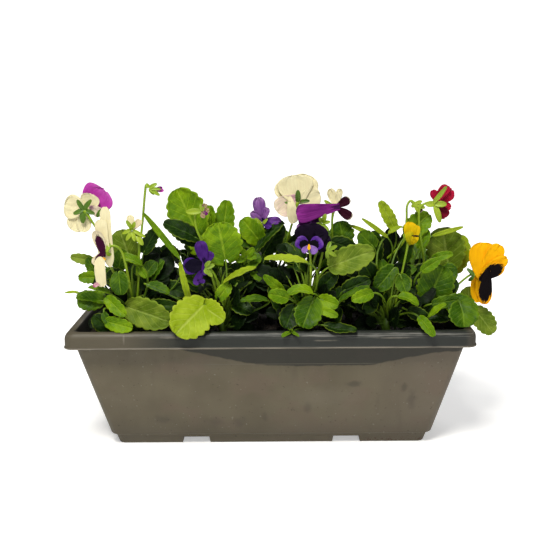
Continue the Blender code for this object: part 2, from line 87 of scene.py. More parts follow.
# The leaves that have a CAD node: node, plant, blade base, tip, width, facing, finish, curl in radians
LEAVES = [
    ("leaf_01", "plant_1", (-181, -6, 235), (-194, -4, 277), 40, (-0.3, -0.8, 0.5), "grey", 0.2),
    ("leaf_02", "plant_1", (-209, -34, 188), (-248, -38, 196), 25, UP, "mid", 0.5),
    ("leaf_03", "plant_1", (-201, -72, 205), (-175, -86, 185), 17, FRONT, "bright", 0.4),
    ("leaf_04", "plant_1", (-198, -68, 162), (-218, -74, 182), 24, FRONT, "dark", 0.4),
    ("leaf_05", "plant_1", (-181, -54, 188), (-123, -70, 172), 38, FRONT, "grey", 0.3),
    ("leaf_06", "plant_5", (-93, -12, 273), (-119, -6, 330), 50, FRONT, "bright", -0.3),
    ("leaf_07", "plant_5", (-91, -24, 268), (-134, -30, 290), 24, (0.0, -0.8, 0.6), "dark", 0.3),
    ("leaf_08", "plant_2", (-56, -38, 245), (-64, -40, 292), 51, FRONT, "bright", 0.3),
    ("leaf_09", "plant_2", (-58, -50, 216), (-16, -64, 239), 17, UP, "pale", 0.4),
    ("leaf_10", "plant_2", (-82, -72, 194), (-114, -104, 167), 50, FRONT, "pale", 0.5),
    ("leaf_11", "plant_6", (-18, -2, 247), (19, 4, 284), 32, (-0.7, -0.4, 0.6), "dark", 0.4),
    ("leaf_12", "plant_3", (46, -68, 246), (-7, -74, 252), 16, UP, "pale", 0.4),
    ("leaf_13", "plant_3", (52, -74, 209), (22, -82, 210), 20, UP, "bright", 1.3),
    ("leaf_14", "plant_3", (53, -76, 201), (39, -92, 170), 34, FRONT, "mid", -0.8),
    ("leaf_15", "plant_3", (22, -78, 204), (-2, -86, 213), 18, FRONT, "bright", 0.4),
    ("leaf_16", "plant_3", (74, -48, 236), (129, -58, 259), 34, FRONT, "grey", 0.3),
    ("leaf_17", "plant_3", (66, -84, 171), (105, -98, 168), 20, UP, "dark", -0.5),
    ("leaf_18", "plant_7", (97, 6, 254), (91, 10, 284), 32, FRONT, "mid", 0.2),
    ("leaf_19", "plant_7", (164, 6, 272), (142, 4, 311), 17, FRONT, "pale", 0.3),
    ("leaf_20", "plant_4", (126, -70, 208), (99, -80, 202), 16, FRONT, "bright", 0.4),
    ("leaf_21", "plant_4", (180, 4, 268), (208, 8, 293), 30, FRONT, "bright", 0.4),
    ("leaf_22", "plant_4", (156, -38, 231), (134, -44, 205), 27, FRONT, "mid", 0.4),
    ("leaf_23", "plant_4", (182, -84, 181), (197, -106, 163), 13, FRONT, "bright", 0.6),
    ("leaf_24", "plant_8", (238, 14, 222), (228, 16, 274), 52, (-0.35, -0.8, 0.5), "grey", 0.2),
    ("leaf_25", "plant_8", (201, -42, 192), (218, -46, 236), 46, FRONT, "mid", 0.3),
    ("leaf_26", "plant_8", (224, -58, 192), (257, -66, 180), 32, (0.0, -0.8, 0.6), "mid", 0.4),
    ("leaf_27", "plant_8", (266, -18, 172), (292, -24, 139), 28, FRONT, "grey", 0.4),
    ("leaf_28", "plant_5", (-140, 70, 200), (-170, 96, 186), 34, BACK, "mid", 0.5),
    ("leaf_29", "plant_6", (22, 76, 195), (40, 106, 178), 38, BACK, "bright", 0.5),
    ("leaf_30", "plant_7", (128, 76, 198), (150, 104, 180), 36, BACK, "bright", 0.5),
]

# Leaves without a node of their own: plant, blade base, tip, width, facing, finish, curl
SMALL_LEAVES = [
    ("plant_5", (-85, 4, 265), (-83, 8, 308), 15, FRONT, "bright", 0.3),
    ("plant_2", (-63, 14, 259), (-56, 22, 311), 27, FRONT, "bright", 0.3),
    ("plant_6", (-14, 6, 259), (-36, 2, 289), 29, FRONT, "bright", 0.9),
    ("plant_1", (-163, -44, 240), (-186, -50, 251), 20, UP, "bright", 0.4),
    ("plant_1", (-166, -44, 238), (-155, -48, 223), 9, FRONT, "bright", 0.3),
    ("plant_1", (-225, -12, 236), (-258, -14, 244), 14, FRONT, "grey", 0.3),
    ("plant_1", (-222, -22, 218), (-246, -28, 219), 16, FRONT, "bright", 0.3),
    ("plant_1", (-246, -26, 198), (-265, -28, 199), 6, UP, "pale", 0.3),
    ("plant_1", (-199, -66, 208), (-222, -76, 218), 15, UP, "bright", 0.5),
    ("plant_1", (-202, -78, 176), (-167, -88, 170), 19, FRONT, "bright", 0.4),
    ("plant_1", (-205, -74, 186), (-198, -80, 172), 10, FRONT, "mid", 0.4),
    ("plant_2", (-83, -66, 191), (-55, -92, 180), 30, FRONT, "pale", 0.4),
    ("plant_2", (-154, -50, 215), (-126, -56, 204), 18, UP, "mid", 0.5),
    ("plant_1", (-187, -58, 231), (-184, -66, 206), 24, FRONT, "mid", 0.4),
    ("plant_3", (30, -72, 191), (18, -84, 167), 27, FRONT, "dark", -0.7),
    ("plant_3", (16, -66, 210), (-8, -74, 232), 12, FRONT, "bright", 0.4),
    ("plant_3", (62, -68, 200), (84, -78, 194), 18, FRONT, "bright", 0.4),
    ("plant_3", (61, -78, 190), (83, -86, 183), 11, FRONT, "bright", 0.4),
    ("plant_2", (-4, -58, 196), (-37, -66, 197), 15, UP, "mid", 0.4),
    ("plant_3", (63, -42, 206), (84, -44, 228), 21, FRONT, "dark", 0.4),
    ("plant_7", (134, -6, 253), (115, -8, 272), 24, FRONT, "mid", 0.4),
    ("plant_4", (91, -56, 207), (124, -62, 223), 22, FRONT, "dark", 0.4),
    ("plant_3", (87, -64, 196), (123, -70, 215), 14, UP, "mid", 0.4),
    ("plant_4", (162, -60, 227), (168, -68, 207), 20, FRONT, "mid", -1.0),
    ("plant_4", (158, -72, 204), (181, -80, 194), 17, UP, "bright", 0.9),
    ("plant_8", (189, -52, 231), (210, -56, 247), 14, FRONT, "bright", 0.4),
    ("plant_8", (202, -50, 247), (227, -52, 253), 11, FRONT, "bright", 0.5),
    ("plant_8", (265, 2, 173), (258, 4, 193), 20, FRONT, "grey", 0.3),
    ("plant_8", (197, -68, 175), (217, -74, 194), 12, UP, "bright", 0.4),
    ("plant_8", (246, 24, 210), (256, 26, 262), 34, FRONT, "pale", 0.3),
    ("plant_1", (-215, -40, 192), (-246, -42, 192), 26, FRONT, "mid", 0.4),
    ("plant_1", (-222, -20, 219), (-235, -18, 243), 16, FRONT, "mid", 0.4),
    ("plant_1", (-196, -16, 228), (-189, -14, 253), 22, FRONT, "mid", 0.4),
    ("plant_2", (-155, -56, 190), (-115, -62, 191), 17, FRONT, "dark", 0.4),
    ("plant_5", (-163, -16, 248), (-143, -14, 281), 19, FRONT, "dark", 0.5),
    ("plant_5", (-94, 0, 257), (-130, 4, 280), 22, FRONT, "dark", 0.4),
    ("plant_5", (-142, 4, 230), (-125, 6, 253), 18, FRONT, "deep", 0.4),
    ("plant_5", (-80, 8, 276), (-78, 10, 306), 17, FRONT, "bright", 0.4),
    ("plant_6", (-8, 8, 242), (16, 10, 281), 30, FRONT, "dark", 0.4),
    ("plant_7", (140, 10, 226), (137, 12, 271), 22, FRONT, "dark", 0.3),
    ("plant_7", (161, 12, 226), (159, 14, 274), 26, FRONT, "deep", 0.3),
    ("plant_7", (177, 12, 226), (180, 14, 268), 22, FRONT, "dark", 0.3),
    ("plant_4", (195, 2, 248), (205, 4, 274), 17, FRONT, "bright", 0.4),
    ("plant_8", (264, 0, 176), (262, 0, 197), 20, FRONT, "grey", 0.3),
    ("plant_8", (203, -58, 190), (236, -60, 196), 16, FRONT, "mid", 0.5),
    ("plant_8", (236, -70, 191), (238, -84, 167), 38, (0.1, -0.9, 0.5), "mid", 0.5),
    ("plant_8", (196, -46, 176), (226, -60, 172), 24, (0.0, -0.9, 0.5), "dark", 0.4),
    ("plant_8", (214, -30, 196), (240, -34, 212), 22, FRONT, "dark", 0.4),
    ("plant_8", (172, -62, 183), (196, -66, 174), 18, FRONT, "dark", 0.4),
    ("plant_3", (80, -20, 262), (110, -16, 250), 24, FRONT, "dark", 0.4),
    ("plant_6", (-30, -10, 222), (-52, -12, 206), 20, FRONT, "mid", 0.5),
    ("plant_2", (-52, -52, 214), (-66, -56, 196), 17, FRONT, "bright", 0.8),
    ("plant_4", (164, -40, 204), (176, -44, 221), 17, FRONT, "grey", 0.9),
    ("plant_6", (-32, -30, 244), (-44, -34, 242), 10, FRONT, "bright", 0.4),
    ("plant_6", (-31, -30, 246), (-35, -34, 257), 8, FRONT, "bright", 0.4),
    ("plant_6", (-29, -30, 246), (-20, -34, 258), 9, FRONT, "bright", 0.4),
    ("plant_6", (-29, -30, 245), (-16, -34, 248), 9, FRONT, "bright", 0.4),
    ("plant_2", (-99, -62, 193), (-111, -58, 246), 8, FRONT, "pale", 0.9),
    ("plant_4", (155, 2, 268), (173, 0, 277), 10, UP, "pale", 0.4),
    ("plant_5", (-100, 62, 235), (-112, 84, 268), 38, BACK, "bright", 0.4),
    ("plant_5", (-78, 78, 190), (-60, 106, 172), 36, BACK, "mid", 0.5),
    ("plant_5", (-160, 44, 186), (-196, 52, 184), 32, (-0.2, 0.6, 0.8), "mid", 0.5),
    ("plant_1", (-196, 10, 182), (-218, 36, 186), 30, (-0.4, 0.3, 0.9), "dark", 0.5),
    ("plant_8", (214, 40, 186), (230, 66, 178), 30, (0.3, 0.6, 0.8), "mid", 0.5),
    ("plant_7", (150, 62, 222), (168, 84, 246), 32, BACK, "dark", 0.4),
    ("plant_6", (10, 66, 232), (26, 86, 256), 32, BACK, "mid", 0.4),
    ("plant_6", (-22, 64, 230), (-36, 84, 262), 36, BACK, "mid", 0.4),
    ("plant_7", (90, 62, 225), (76, 84, 256), 36, BACK, "mid", 0.4),
    ("plant_8", (205, 46, 215), (196, 74, 245), 36, BACK, "mid", 0.4),
    ("plant_3", (24, -94, 165), (14, -101, 162), 7, UP, "bright", 0.4),
    ("plant_3", (26, -94, 166), (35, -101, 162), 5, UP, "bright", 0.4),
    ("plant_3", (25, -92, 167), (27, -100, 172), 5, FRONT, "bright", 0.4),
]

# Long narrow leaves: plant, base, tip, width, finish, curl
BLADES = [
    ("plant_1", (-114, -30, 243), (-159, -30, 304), 8, "bright", -0.4),
    ("plant_7", (154, 0, 263), (119, 0, 289), 6, "pale", 0.6),
    ("plant_7", (137, 6, 264), (105, 6, 279), 6, "pale", 0.8),
    ("plant_8", (211, 0, 265), (252, 0, 277), 6, "pale", 0.8),
]


# ------------------------------------------------------------------ mesh building


class Builder:
    """Collects faces with blade coordinates and a finish for each, then makes one object of them."""

    def __init__(self):
        self.points = []
        self.faces = []
        self.coords = []
        self.slots = []
        self.finishes = []

    def slot(self, finish):
        if finish not in self.finishes:
            self.finishes.append(finish)
        return self.finishes.index(finish)

    def grid(self, rows, coords, finish, wrap=False):
        """Quads between rows of points, with (across, along) coordinates for each point."""
        slot = self.slot(finish)
        start = len(self.points)
        width = len(rows[0])
        for row in rows:
            self.points.extend(row)
        for j in range(len(rows) - 1):
            for i in range(width if wrap else width - 1):
                k = (i + 1) % width
                a, b = start + j * width + i, start + j * width + k
                c, d = b + width, a + width
                self.faces.append((a, b, c, d))
                edge = (1.0, coords[j][i][1]) if wrap and k == 0 else coords[j][k]
                far = (1.0, coords[j + 1][i][1]) if wrap and k == 0 else coords[j + 1][k]
                self.coords.append((coords[j][i], edge, far, coords[j + 1][i]))
                self.slots.append(slot)

    def cap(self, ring, finish):
        slot = self.slot(finish)
        start = len(self.points)
        self.points.extend(ring)
        self.faces.append(tuple(range(start, start + len(ring))))
        self.coords.append(tuple((0.5, 1.0) for _ in ring))
        self.slots.append(slot)

    def make(self, name, thickness=0.0):
        mesh = bpy.data.meshes.new(name)
        mesh.from_pydata([tuple(p * MM) for p in self.points], [], self.faces)
        layer = mesh.uv_layers.new(name="blade")
        flat = [value for face in self.coords for corner in face for value in corner]
        layer.data.foreach_set("uv", flat)
        mesh.polygons.foreach_set("material_index", self.slots)
        for finish in self.finishes:
            mesh.materials.append(finish_material(finish))
        mesh.shade_smooth()
        made = bpy.data.objects.new(name, mesh)
        bpy.context.scene.collection.objects.link(made)
        if thickness:
            shell = made.modifiers.new("thickness", "SOLIDIFY")
            shell.thickness = thickness * MM
            shell.offset = 0.0
        return made


def bezier(points, steps):
    """Points on a Bezier curve through the control polygon's ends."""
    line = []
    for n in range(steps + 1):
        level = [Vector(p) for p in points]
        while len(level) > 1:
            level = [a.lerp(b, n / steps) for a, b in zip(level, level[1:])]
        line.append(level[0])
    return line


def smooth_line(points, steps):
    """A Catmull-Rom line through all the points."""
    points = [Vector(p) for p in points]
    ends = [points[0] * 2 - points[1]] + points + [points[-1] * 2 - points[-2]]
    line = []
    for a, b, c, d in zip(ends, ends[1:], ends[2:], ends[3:]):
        for n in range(steps):
            t = n / steps
            bend = (2 * a - 5 * b + 4 * c - d) * t**2
            twist = (3 * b - a - 3 * c + d) * t**3
            line.append(0.5 * (2 * b + (c - a) * t + bend + twist))
    line.append(points[-1])
    return line


def radius_at(radii, share):
    """The radius at a share of the way along a tube."""
    place = share * (len(radii) - 1)
    low = min(int(place), len(radii) - 2)
    return radii[low] + (radii[low + 1] - radii[low]) * (place - low)


def tube(build, line, radii, finish, sides=8):
    """A round stalk along a line, whose radius runs through radii."""
    heading = [(b - a).normalized() for a, b in zip(line, line[1:])]
    heading.append(heading[-1])
    side = heading[0].orthogonal().normalized()
    rows = []
    coords = []
    last = len(line) - 1
    for i, (centre, axis) in enumerate(zip(line, heading)):
        if i:
            side.rotate(heading[i - 1].rotation_difference(axis))
        other = axis.cross(side)
        radius = radius_at(radii, i / last)
        ring = []
        for k in range(sides):
            angle = 2 * math.pi * k / sides
            ring.append(centre + side * math.cos(angle) * radius + other * math.sin(angle) * radius)
        rows.append(ring)
        coords.append([(k / sides, i / last) for k in range(sides)])
    build.grid(rows, coords, finish, wrap=True)
    build.cap(list(reversed(rows[0])), finish)
    build.cap(rows[-1], finish)


# Outlines of blades: the share of the full width at a share t of the length


def leaf_width(t):
    return t**0.42 * (1 - t) ** 0.5 / 0.528


def petal_width(t):
    return (0.12 + 0.88 * t**0.8) * (1 - t**3.2) ** 0.5 / 0.86


def strap_width(t):
    return min(1, (t / 0.15) ** 0.5) * min(1, ((1 - t) / 0.1) ** 0.5)


def fan_width(t):
    return (0.26 + 0.74 * t) * (1 - t**12) ** 0.5 / 0.95


PETAL_OUTLINES = {"strap": strap_width, "fan": fan_width}


def toothed(t, reach, teeth):
    """How far rounded teeth move a point of the blade in or out, most at its margin."""
    if not teeth:
        return 1.0
    lobe = abs(math.sin(math.pi * teeth * t)) ** 0.6 - 0.8
    return 1 + TOOTH_DEPTH * lobe * reach**6


def surface_rise(s, t, half, length, cup, ruffle, pucker, seed):
    """How far a point stands above the blade's chord line: cupped, waved at its rim and puckered."""
    reach = abs(s)
    rim = max(reach, t**1.5) ** 3
    rise = cup * half * reach**1.4
    rise += ruffle * math.sin(s * 5.1 + t * 9.0 + seed) * rim
    rise += ruffle * 0.6 * math.sin(s * 11.3 - t * 7.0 + seed * 2.1) * rim
    if pucker:
        rise += pucker * noise.noise(Vector((s * half / 6, t * length / 6, seed * 7)))
        rise += pucker * 0.6 * (1 - math.exp(-reach * 5))
    return rise


def blade(build, base, tip, width, facing, finish, curl=0.3, cup=0.2, teeth=0, ruffle=0.0,
          heart=0.0, shape=leaf_width, across=8, along=16, seed=0.0, end=0.985, pucker=0.0):
    """A thin blade from base to tip: it curls along its length and is cupped across it.

    teeth rounded lobes run up each margin, ruffle waves the rim, heart draws the base lobes back
    and pucker raises the surface between the veins.
    """
    base, tip, facing = Vector(base), Vector(tip), Vector(facing)
    chord = tip - base
    axis = chord.normalized()
    side = axis.cross(facing).normalized()
    normal = side.cross(axis)
    half_curl = curl / 2 if abs(curl) > 1e-3 else 1e-3
    length = chord.length * half_curl / math.sin(half_curl)
    place = base.copy()
    rows = []
    coords = []
    before = 0.0
    for j in range(along + 1):
        t = (1 - math.cos(math.pi * j / along)) / 2 * end
        bend = half_curl - curl * t
        heading = axis * math.cos(bend) + normal * math.sin(bend)
        lift = normal * math.cos(bend) - axis * math.sin(bend)
        place = place + heading * length * (t - before)
        before = t
        half = width / 2 * shape(max(t, 0.004))
        row = []
        marks = []
        for i in range(across + 1):
            s = i / across * 2 - 1
            out = s * half * toothed(t, abs(s), teeth)
            rise = surface_rise(s, t, half, length, cup, ruffle, pucker, seed)
            back = heart * width * abs(s) ** 1.6 * (1 - t) ** 5
            row.append(place + side * out + lift * rise - heading * back)
            marks.append(((s + 1) / 2, t))
        rows.append(row)
        coords.append(marks)
    build.grid(rows, coords, finish)


def attachment(plant, target, level):
    """A point on the side of a plant's stem, at a height above the soil, towards a target."""
    x, y = PLANTS[plant]
    away = Vector((target[0] - x, target[1] - y, 0))
    away = away.normalized() if away.length > 1e-6 else Vector((1, 0, 0))
    return Vector((x, y, SOIL_TOP + level)) + away * (STEM_RADIUS - 1.0)


def petiole(build, plant, base, tip, level, radius=1.1):
    """The leaf's stalk, from the plant's stem into the underside of the blade."""
    base, tip = Vector(base), Vector(tip)
    root = attachment(plant, base, level)
    axis = (tip - base).normalized()
    bend = base - axis * 0.4 * (base - root).length
    bend.z = max(bend.z, root.z)
    line = bezier((root, bend, base, base + axis * 5), 10)
    tube(build, line, (radius * 1.25, radius, radius * 0.6), "stem", sides=6)


def leaf_slot(finish):
    """The record's slot for a leaf finish."""
    return {"pale": "leaf_bright", "deep": "leaf_dark"}.get(finish, "leaf_" + finish)


def put(piece, slot, *nodes):
    """Makes a piece ride on the box and stand for its CAD nodes; the slot is not used."""
    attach(piece, "root")
    if nodes:
        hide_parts(*nodes)
    return piece


# ------------------------------------------------------------------ shader groups


def group_socket(tree, name, kind, inward, value=None):
    made = tree.interface.new_socket(
        name=name, in_out="INPUT" if inward else "OUTPUT", socket_type="NodeSocket" + kind
    )
    if value is not None:
        made.default_value = value


class Nodes:
    """Short calls for the nodes that the materials share."""

    def __init__(self, tree):
        self.tree = tree

    def add(self, kind, **settings):
        node = self.tree.nodes.new(kind)
        for name, value in settings.items():
            setattr(node, name, value)
        return node

    def put(self, socket, value):
        if isinstance(value, bpy.types.NodeSocket):
            self.tree.links.new(value, socket)
        elif value is not None:
            if isinstance(value, tuple) and len(value) == 3 and socket.type == "RGBA":
                value = (*value, 1.0)
            socket.default_value = value

    def math(self, operation, a, b=None, c=None, clamp=False):
        node = self.add("ShaderNodeMath", operation=operation, use_clamp=clamp)
        for socket, value in zip(node.inputs, (a, b, c)):
            self.put(socket, value)
        return node.outputs[0]

    def ramp(self, value, low, high, to_low=0.0, to_high=1.0):
        """Maps low..high smoothly onto to_low..to_high."""
        node = self.add("ShaderNodeMapRange", interpolation_type="SMOOTHSTEP")
        for socket, given in zip(node.inputs, (value, low, high, to_low, to_high)):
            self.put(socket, given)
        return node.outputs[0]

    def mix(self, share, a, b, blend="MIX"):
        node = self.add("ShaderNodeMix", data_type="RGBA", blend_type=blend)
        self.put(node.inputs[0], share)
        self.put(node.inputs[6], a)
        self.put(node.inputs[7], b)
        return node.outputs[2]

    def noise(self, vector, scale, detail=3.0, roughness=0.55):
        node = self.add("ShaderNodeTexNoise")
        self.put(node.inputs["Vector"], vector)
        node.inputs["Scale"].default_value = scale
        node.inputs["Detail"].default_value = detail
        node.inputs["Roughness"].default_value = roughness
        return node.outputs["Fac"]

    def place(self):
        return self.add("ShaderNodeTexCoord").outputs["Object"]

    def stretch(self, vector, scale):
        node = self.add("ShaderNodeMapping")
        self.put(node.inputs["Vector"], vector)
        node.inputs["Scale"].default_value = scale
        return node.outputs["Vector"]

    def blade(self):
        """Across and along coordinates of a leaf or petal, and the vector itself."""
        node = self.add("ShaderNodeUVMap", uv_map="blade")
        split = self.add("ShaderNodeSeparateXYZ")
        self.put(split.inputs[0], node.outputs["UV"])
        return split.outputs["X"], split.outputs["Y"], node.outputs["UV"]

    def use(self, group, **values):
        node = self.add("ShaderNodeGroup", node_tree=group)
        for name, value in values.items():
            self.put(node.inputs[name.replace("_", " ")], value)
        return node.outputs

    def bump(self, height, strength, distance):
        node = self.add("ShaderNodeBump")
        node.inputs["Strength"].default_value = strength
        node.inputs["Distance"].default_value = distance
        self.put(node.inputs["Height"], height)
        return node.outputs["Normal"]


def new_group(name, inputs, outputs):
    tree = bpy.data.node_groups.new(name, "ShaderNodeTree")
    for socket, kind, value in inputs:
        group_socket(tree, socket, kind, True, value)
    for socket, kind in outputs:
        group_socket(tree, socket, kind, False)
    nodes = Nodes(tree)
    return tree, nodes, nodes.add("NodeGroupInput").outputs, nodes.add("NodeGroupOutput").inputs


def build_vein_group():
    """Masks of a leaf's midrib and side veins, from its blade coordinates."""
    tree, n, given, out = new_group(
        "leaf_veins",
        [("Count", "Float", 6.0), ("Slant", "Float", 0.45)],
        [("Midrib", "Float"), ("Veins", "Float"), ("Margin", "Float")],
    )
    across, along, _ = n.blade()
    reach = n.math("ABSOLUTE", n.math("MULTIPLY_ADD", across, 2.0, -1.0))
    n.put(out["Midrib"], n.ramp(reach, 0.02, 0.1, 1.0, 0.0))
    shifted = n.math("SUBTRACT", along, n.math("MULTIPLY", n.math("POWER", reach, 0.8), given["Slant"]))
    phase = n.math("MULTIPLY", shifted, given["Count"])
    gap = n.math("PINGPONG", phase, 0.5)
    lines = n.ramp(gap, 0.0, 0.11, 1.0, 0.0)
    n.put(out["Veins"], n.math("MULTIPLY", lines, n.ramp(reach, 0.55, 1.0, 1.0, 0.15)))
    n.put(out["Margin"], n.ramp(reach, 0.82, 1.0))
    return tree


def build_mottle_group():
    """Soft patches and fine grain of one surface, both from 0 to 1."""
    tree, n, given, out = new_group(
        "mottle",
        [("Vector", "Vector", None), ("Patch Scale", "Float", 30.0), ("Grain Scale", "Float", 600.0)],
        [("Patches", "Float"), ("Grain", "Float")],
    )
    for name, scale, detail in (("Patches", "Patch Scale", 3.0), ("Grain", "Grain Scale", 2.0)):
        texture = n.add("ShaderNodeTexNoise")
        n.put(texture.inputs["Vector"], given["Vector"])
        n.put(texture.inputs["Scale"], given[scale])
        texture.inputs["Detail"].default_value = detail
        n.put(out[name], n.ramp(texture.outputs["Fac"], 0.3, 0.7))
    return tree


def build_streak_group():
    """Fine lines that run from a petal's base to its rim, and a ragged edge for its blotch."""
    tree, n, given, out = new_group(
        "petal_streaks",
        [
            ("Reach", "Float", 0.4),
            ("Ragged", "Float", 0.3),
            ("Taper", "Float", 0.35),
            ("Shift", "Float", 0.0),
        ],
        [("Lines", "Float"), ("Blotch", "Float"), ("Rim", "Float")],
    )
    across, along, flat = n.blade()
    moved = n.add("ShaderNodeCombineXYZ")
    n.put(moved.inputs["X"], n.math("ADD", n.math("MULTIPLY", across, 16.0), given["Shift"]))
    n.put(moved.inputs["Y"], n.math("MULTIPLY", along, 1.3))
    lines = n.noise(moved.outputs[0], 1.6, detail=4.0)
    n.put(out["Lines"], n.ramp(lines, 0.42, 0.62))
    centre = n.math("ABSOLUTE", n.math("MULTIPLY_ADD", across, 2.0, -1.0))
    fall = n.math("MULTIPLY", n.math("POWER", centre, 2.2), given["Taper"])
    edge = n.math("ADD", given["Reach"], n.math("MULTIPLY", n.math("SUBTRACT", lines, 0.5), given["Ragged"]))
    edge = n.math("SUBTRACT", edge, fall)
    n.put(out["Blotch"], n.ramp(n.math("SUBTRACT", edge, along), -0.02, 0.02))
    n.put(out["Rim"], n.ramp(along, 0.72, 1.0))
    return tree


groups = {
    "veins": build_vein_group(),
    "mottle": build_mottle_group(),
    "streaks": build_streak_group(),
}


# ------------------------------------------------------------------ materials


def new_material(name):
    made = bpy.data.materials.new(name)
    made.use_nodes = True
    made.node_tree.nodes.clear()
    n = Nodes(made.node_tree)
    shader = n.add("ShaderNodeBsdfPrincipled")
    n.put(n.add("ShaderNodeOutputMaterial").inputs["Surface"], shader.outputs[0])
    return made, n, shader


# mid, dark and deep are darker copies of the leaf green: painted shade for leaves in the shade of others, and
# near black for those deep inside the growth.
# deep, light, vein, rim, roughness
LEAF_FINISHES = {
    "bright": ((0.08, 0.19, 0.001), (0.26, 0.42, 0.004), (0.36, 0.52, 0.03), (0.33, 0.48, 0.01), 0.42),
    "pale": ((0.25, 0.36, 0.005), (0.42, 0.54, 0.03), (0.52, 0.62, 0.11), (0.48, 0.57, 0.05), 0.5),
    "mid": ((0.022, 0.075, 0.001), (0.12, 0.235, 0.003), (0.20, 0.34, 0.02), (0.22, 0.36, 0.01), 0.4),
    "dark": ((0.004, 0.018, 0.001), (0.026, 0.072, 0.002), (0.06, 0.13, 0.01), (0.28, 0.40, 0.02), 0.42),
    "deep": ((0.0008, 0.004, 0.0004), (0.005, 0.019, 0.001), (0.014, 0.04, 0.003), (0.02, 0.05, 0.004), 0.5),
    "grey": ((0.09, 0.16, 0.006), (0.27, 0.36, 0.035), (0.34, 0.44, 0.08), (0.30, 0.42, 0.03), 0.52),
}


def leaf_material(name, finish):
    deep, light, vein, rim, roughness = LEAF_FINISHES[finish]
    made, n, shader = new_material(name)
    veins = n.use(groups["veins"], Count=6.0, Slant=0.42)
    spots = n.use(groups["mottle"], Vector=n.place(), Patch_Scale=45.0, Grain_Scale=900.0)
    between = n.math("MULTIPLY", n.math("SUBTRACT", 1.0, veins["Veins"]), 0.35)
    shade = n.math("SUBTRACT", spots["Patches"], between, clamp=True)
    colour = n.mix(shade, deep, light)
    colour = n.mix(n.math("MULTIPLY", spots["Grain"], 0.25), colour, light)
    colour = n.mix(n.math("MULTIPLY", veins["Veins"], 0.25), colour, vein)
    colour = n.mix(n.math("MULTIPLY", veins["Midrib"], 0.5), colour, vein)
    colour = n.mix(n.math("MULTIPLY", veins["Margin"], 0.45), colour, rim)
    n.put(shader.inputs["Base Color"], colour)
    n.put(shader.inputs["Roughness"], n.ramp(spots["Grain"], 0.0, 1.0, roughness - 0.08, roughness + 0.12))
    sunk = n.math("ADD", n.math("MULTIPLY", veins["Veins"], -0.8), n.math("MULTIPLY", veins["Midrib"], -1.0))
    height = n.math("ADD", sunk, n.math("MULTIPLY", spots["Grain"], 0.25))
    n.put(shader.inputs["Normal"], n.bump(height, 0.6, 0.0008))
    shader.inputs["Specular IOR Level"].default_value = 0.16
    return made


# deep, light
STEM_FINISHES = {
    "stem": ((0.05, 0.12, 0.004), (0.20, 0.33, 0.012)),
    "stalk": ((0.15, 0.28, 0.004), (0.32, 0.47, 0.015)),
    "sepal": ((0.04, 0.11, 0.004), (0.10, 0.21, 0.008)),
    "sepal_light": ((0.13, 0.26, 0.004), (0.36, 0.48, 0.02)),
}


def stem_material(name, deep, light):
    made, n, shader = new_material(name)
    place = n.place()
    spots = n.use(groups["mottle"], Vector=place, Patch_Scale=28.0, Grain_Scale=500.0)
    lengthwise = n.noise(n.stretch(place, (900.0, 900.0, 30.0)), 1.0, detail=2.0)
    colour = n.mix(spots["Patches"], deep, light)
    colour = n.mix(n.math("MULTIPLY", lengthwise, 0.4), colour, light)
    split = n.add("ShaderNodeSeparateXYZ")
    n.put(split.inputs[0], place)
    # Painted shade: the stems darken towards the soil, as under the leaves.
    low = n.ramp(split.outputs["Z"], 0.145, 0.205, 0.8, 0.0)
    colour = n.mix(low, colour, tuple(0.3 * part for part in deep))
    n.put(shader.inputs["Base Color"], colour)
    n.put(shader.inputs["Roughness"], n.ramp(spots["Grain"], 0.0, 1.0, 0.38, 0.55))
    n.put(shader.inputs["Normal"], n.bump(lengthwise, 0.4, 0.0004))
    return made


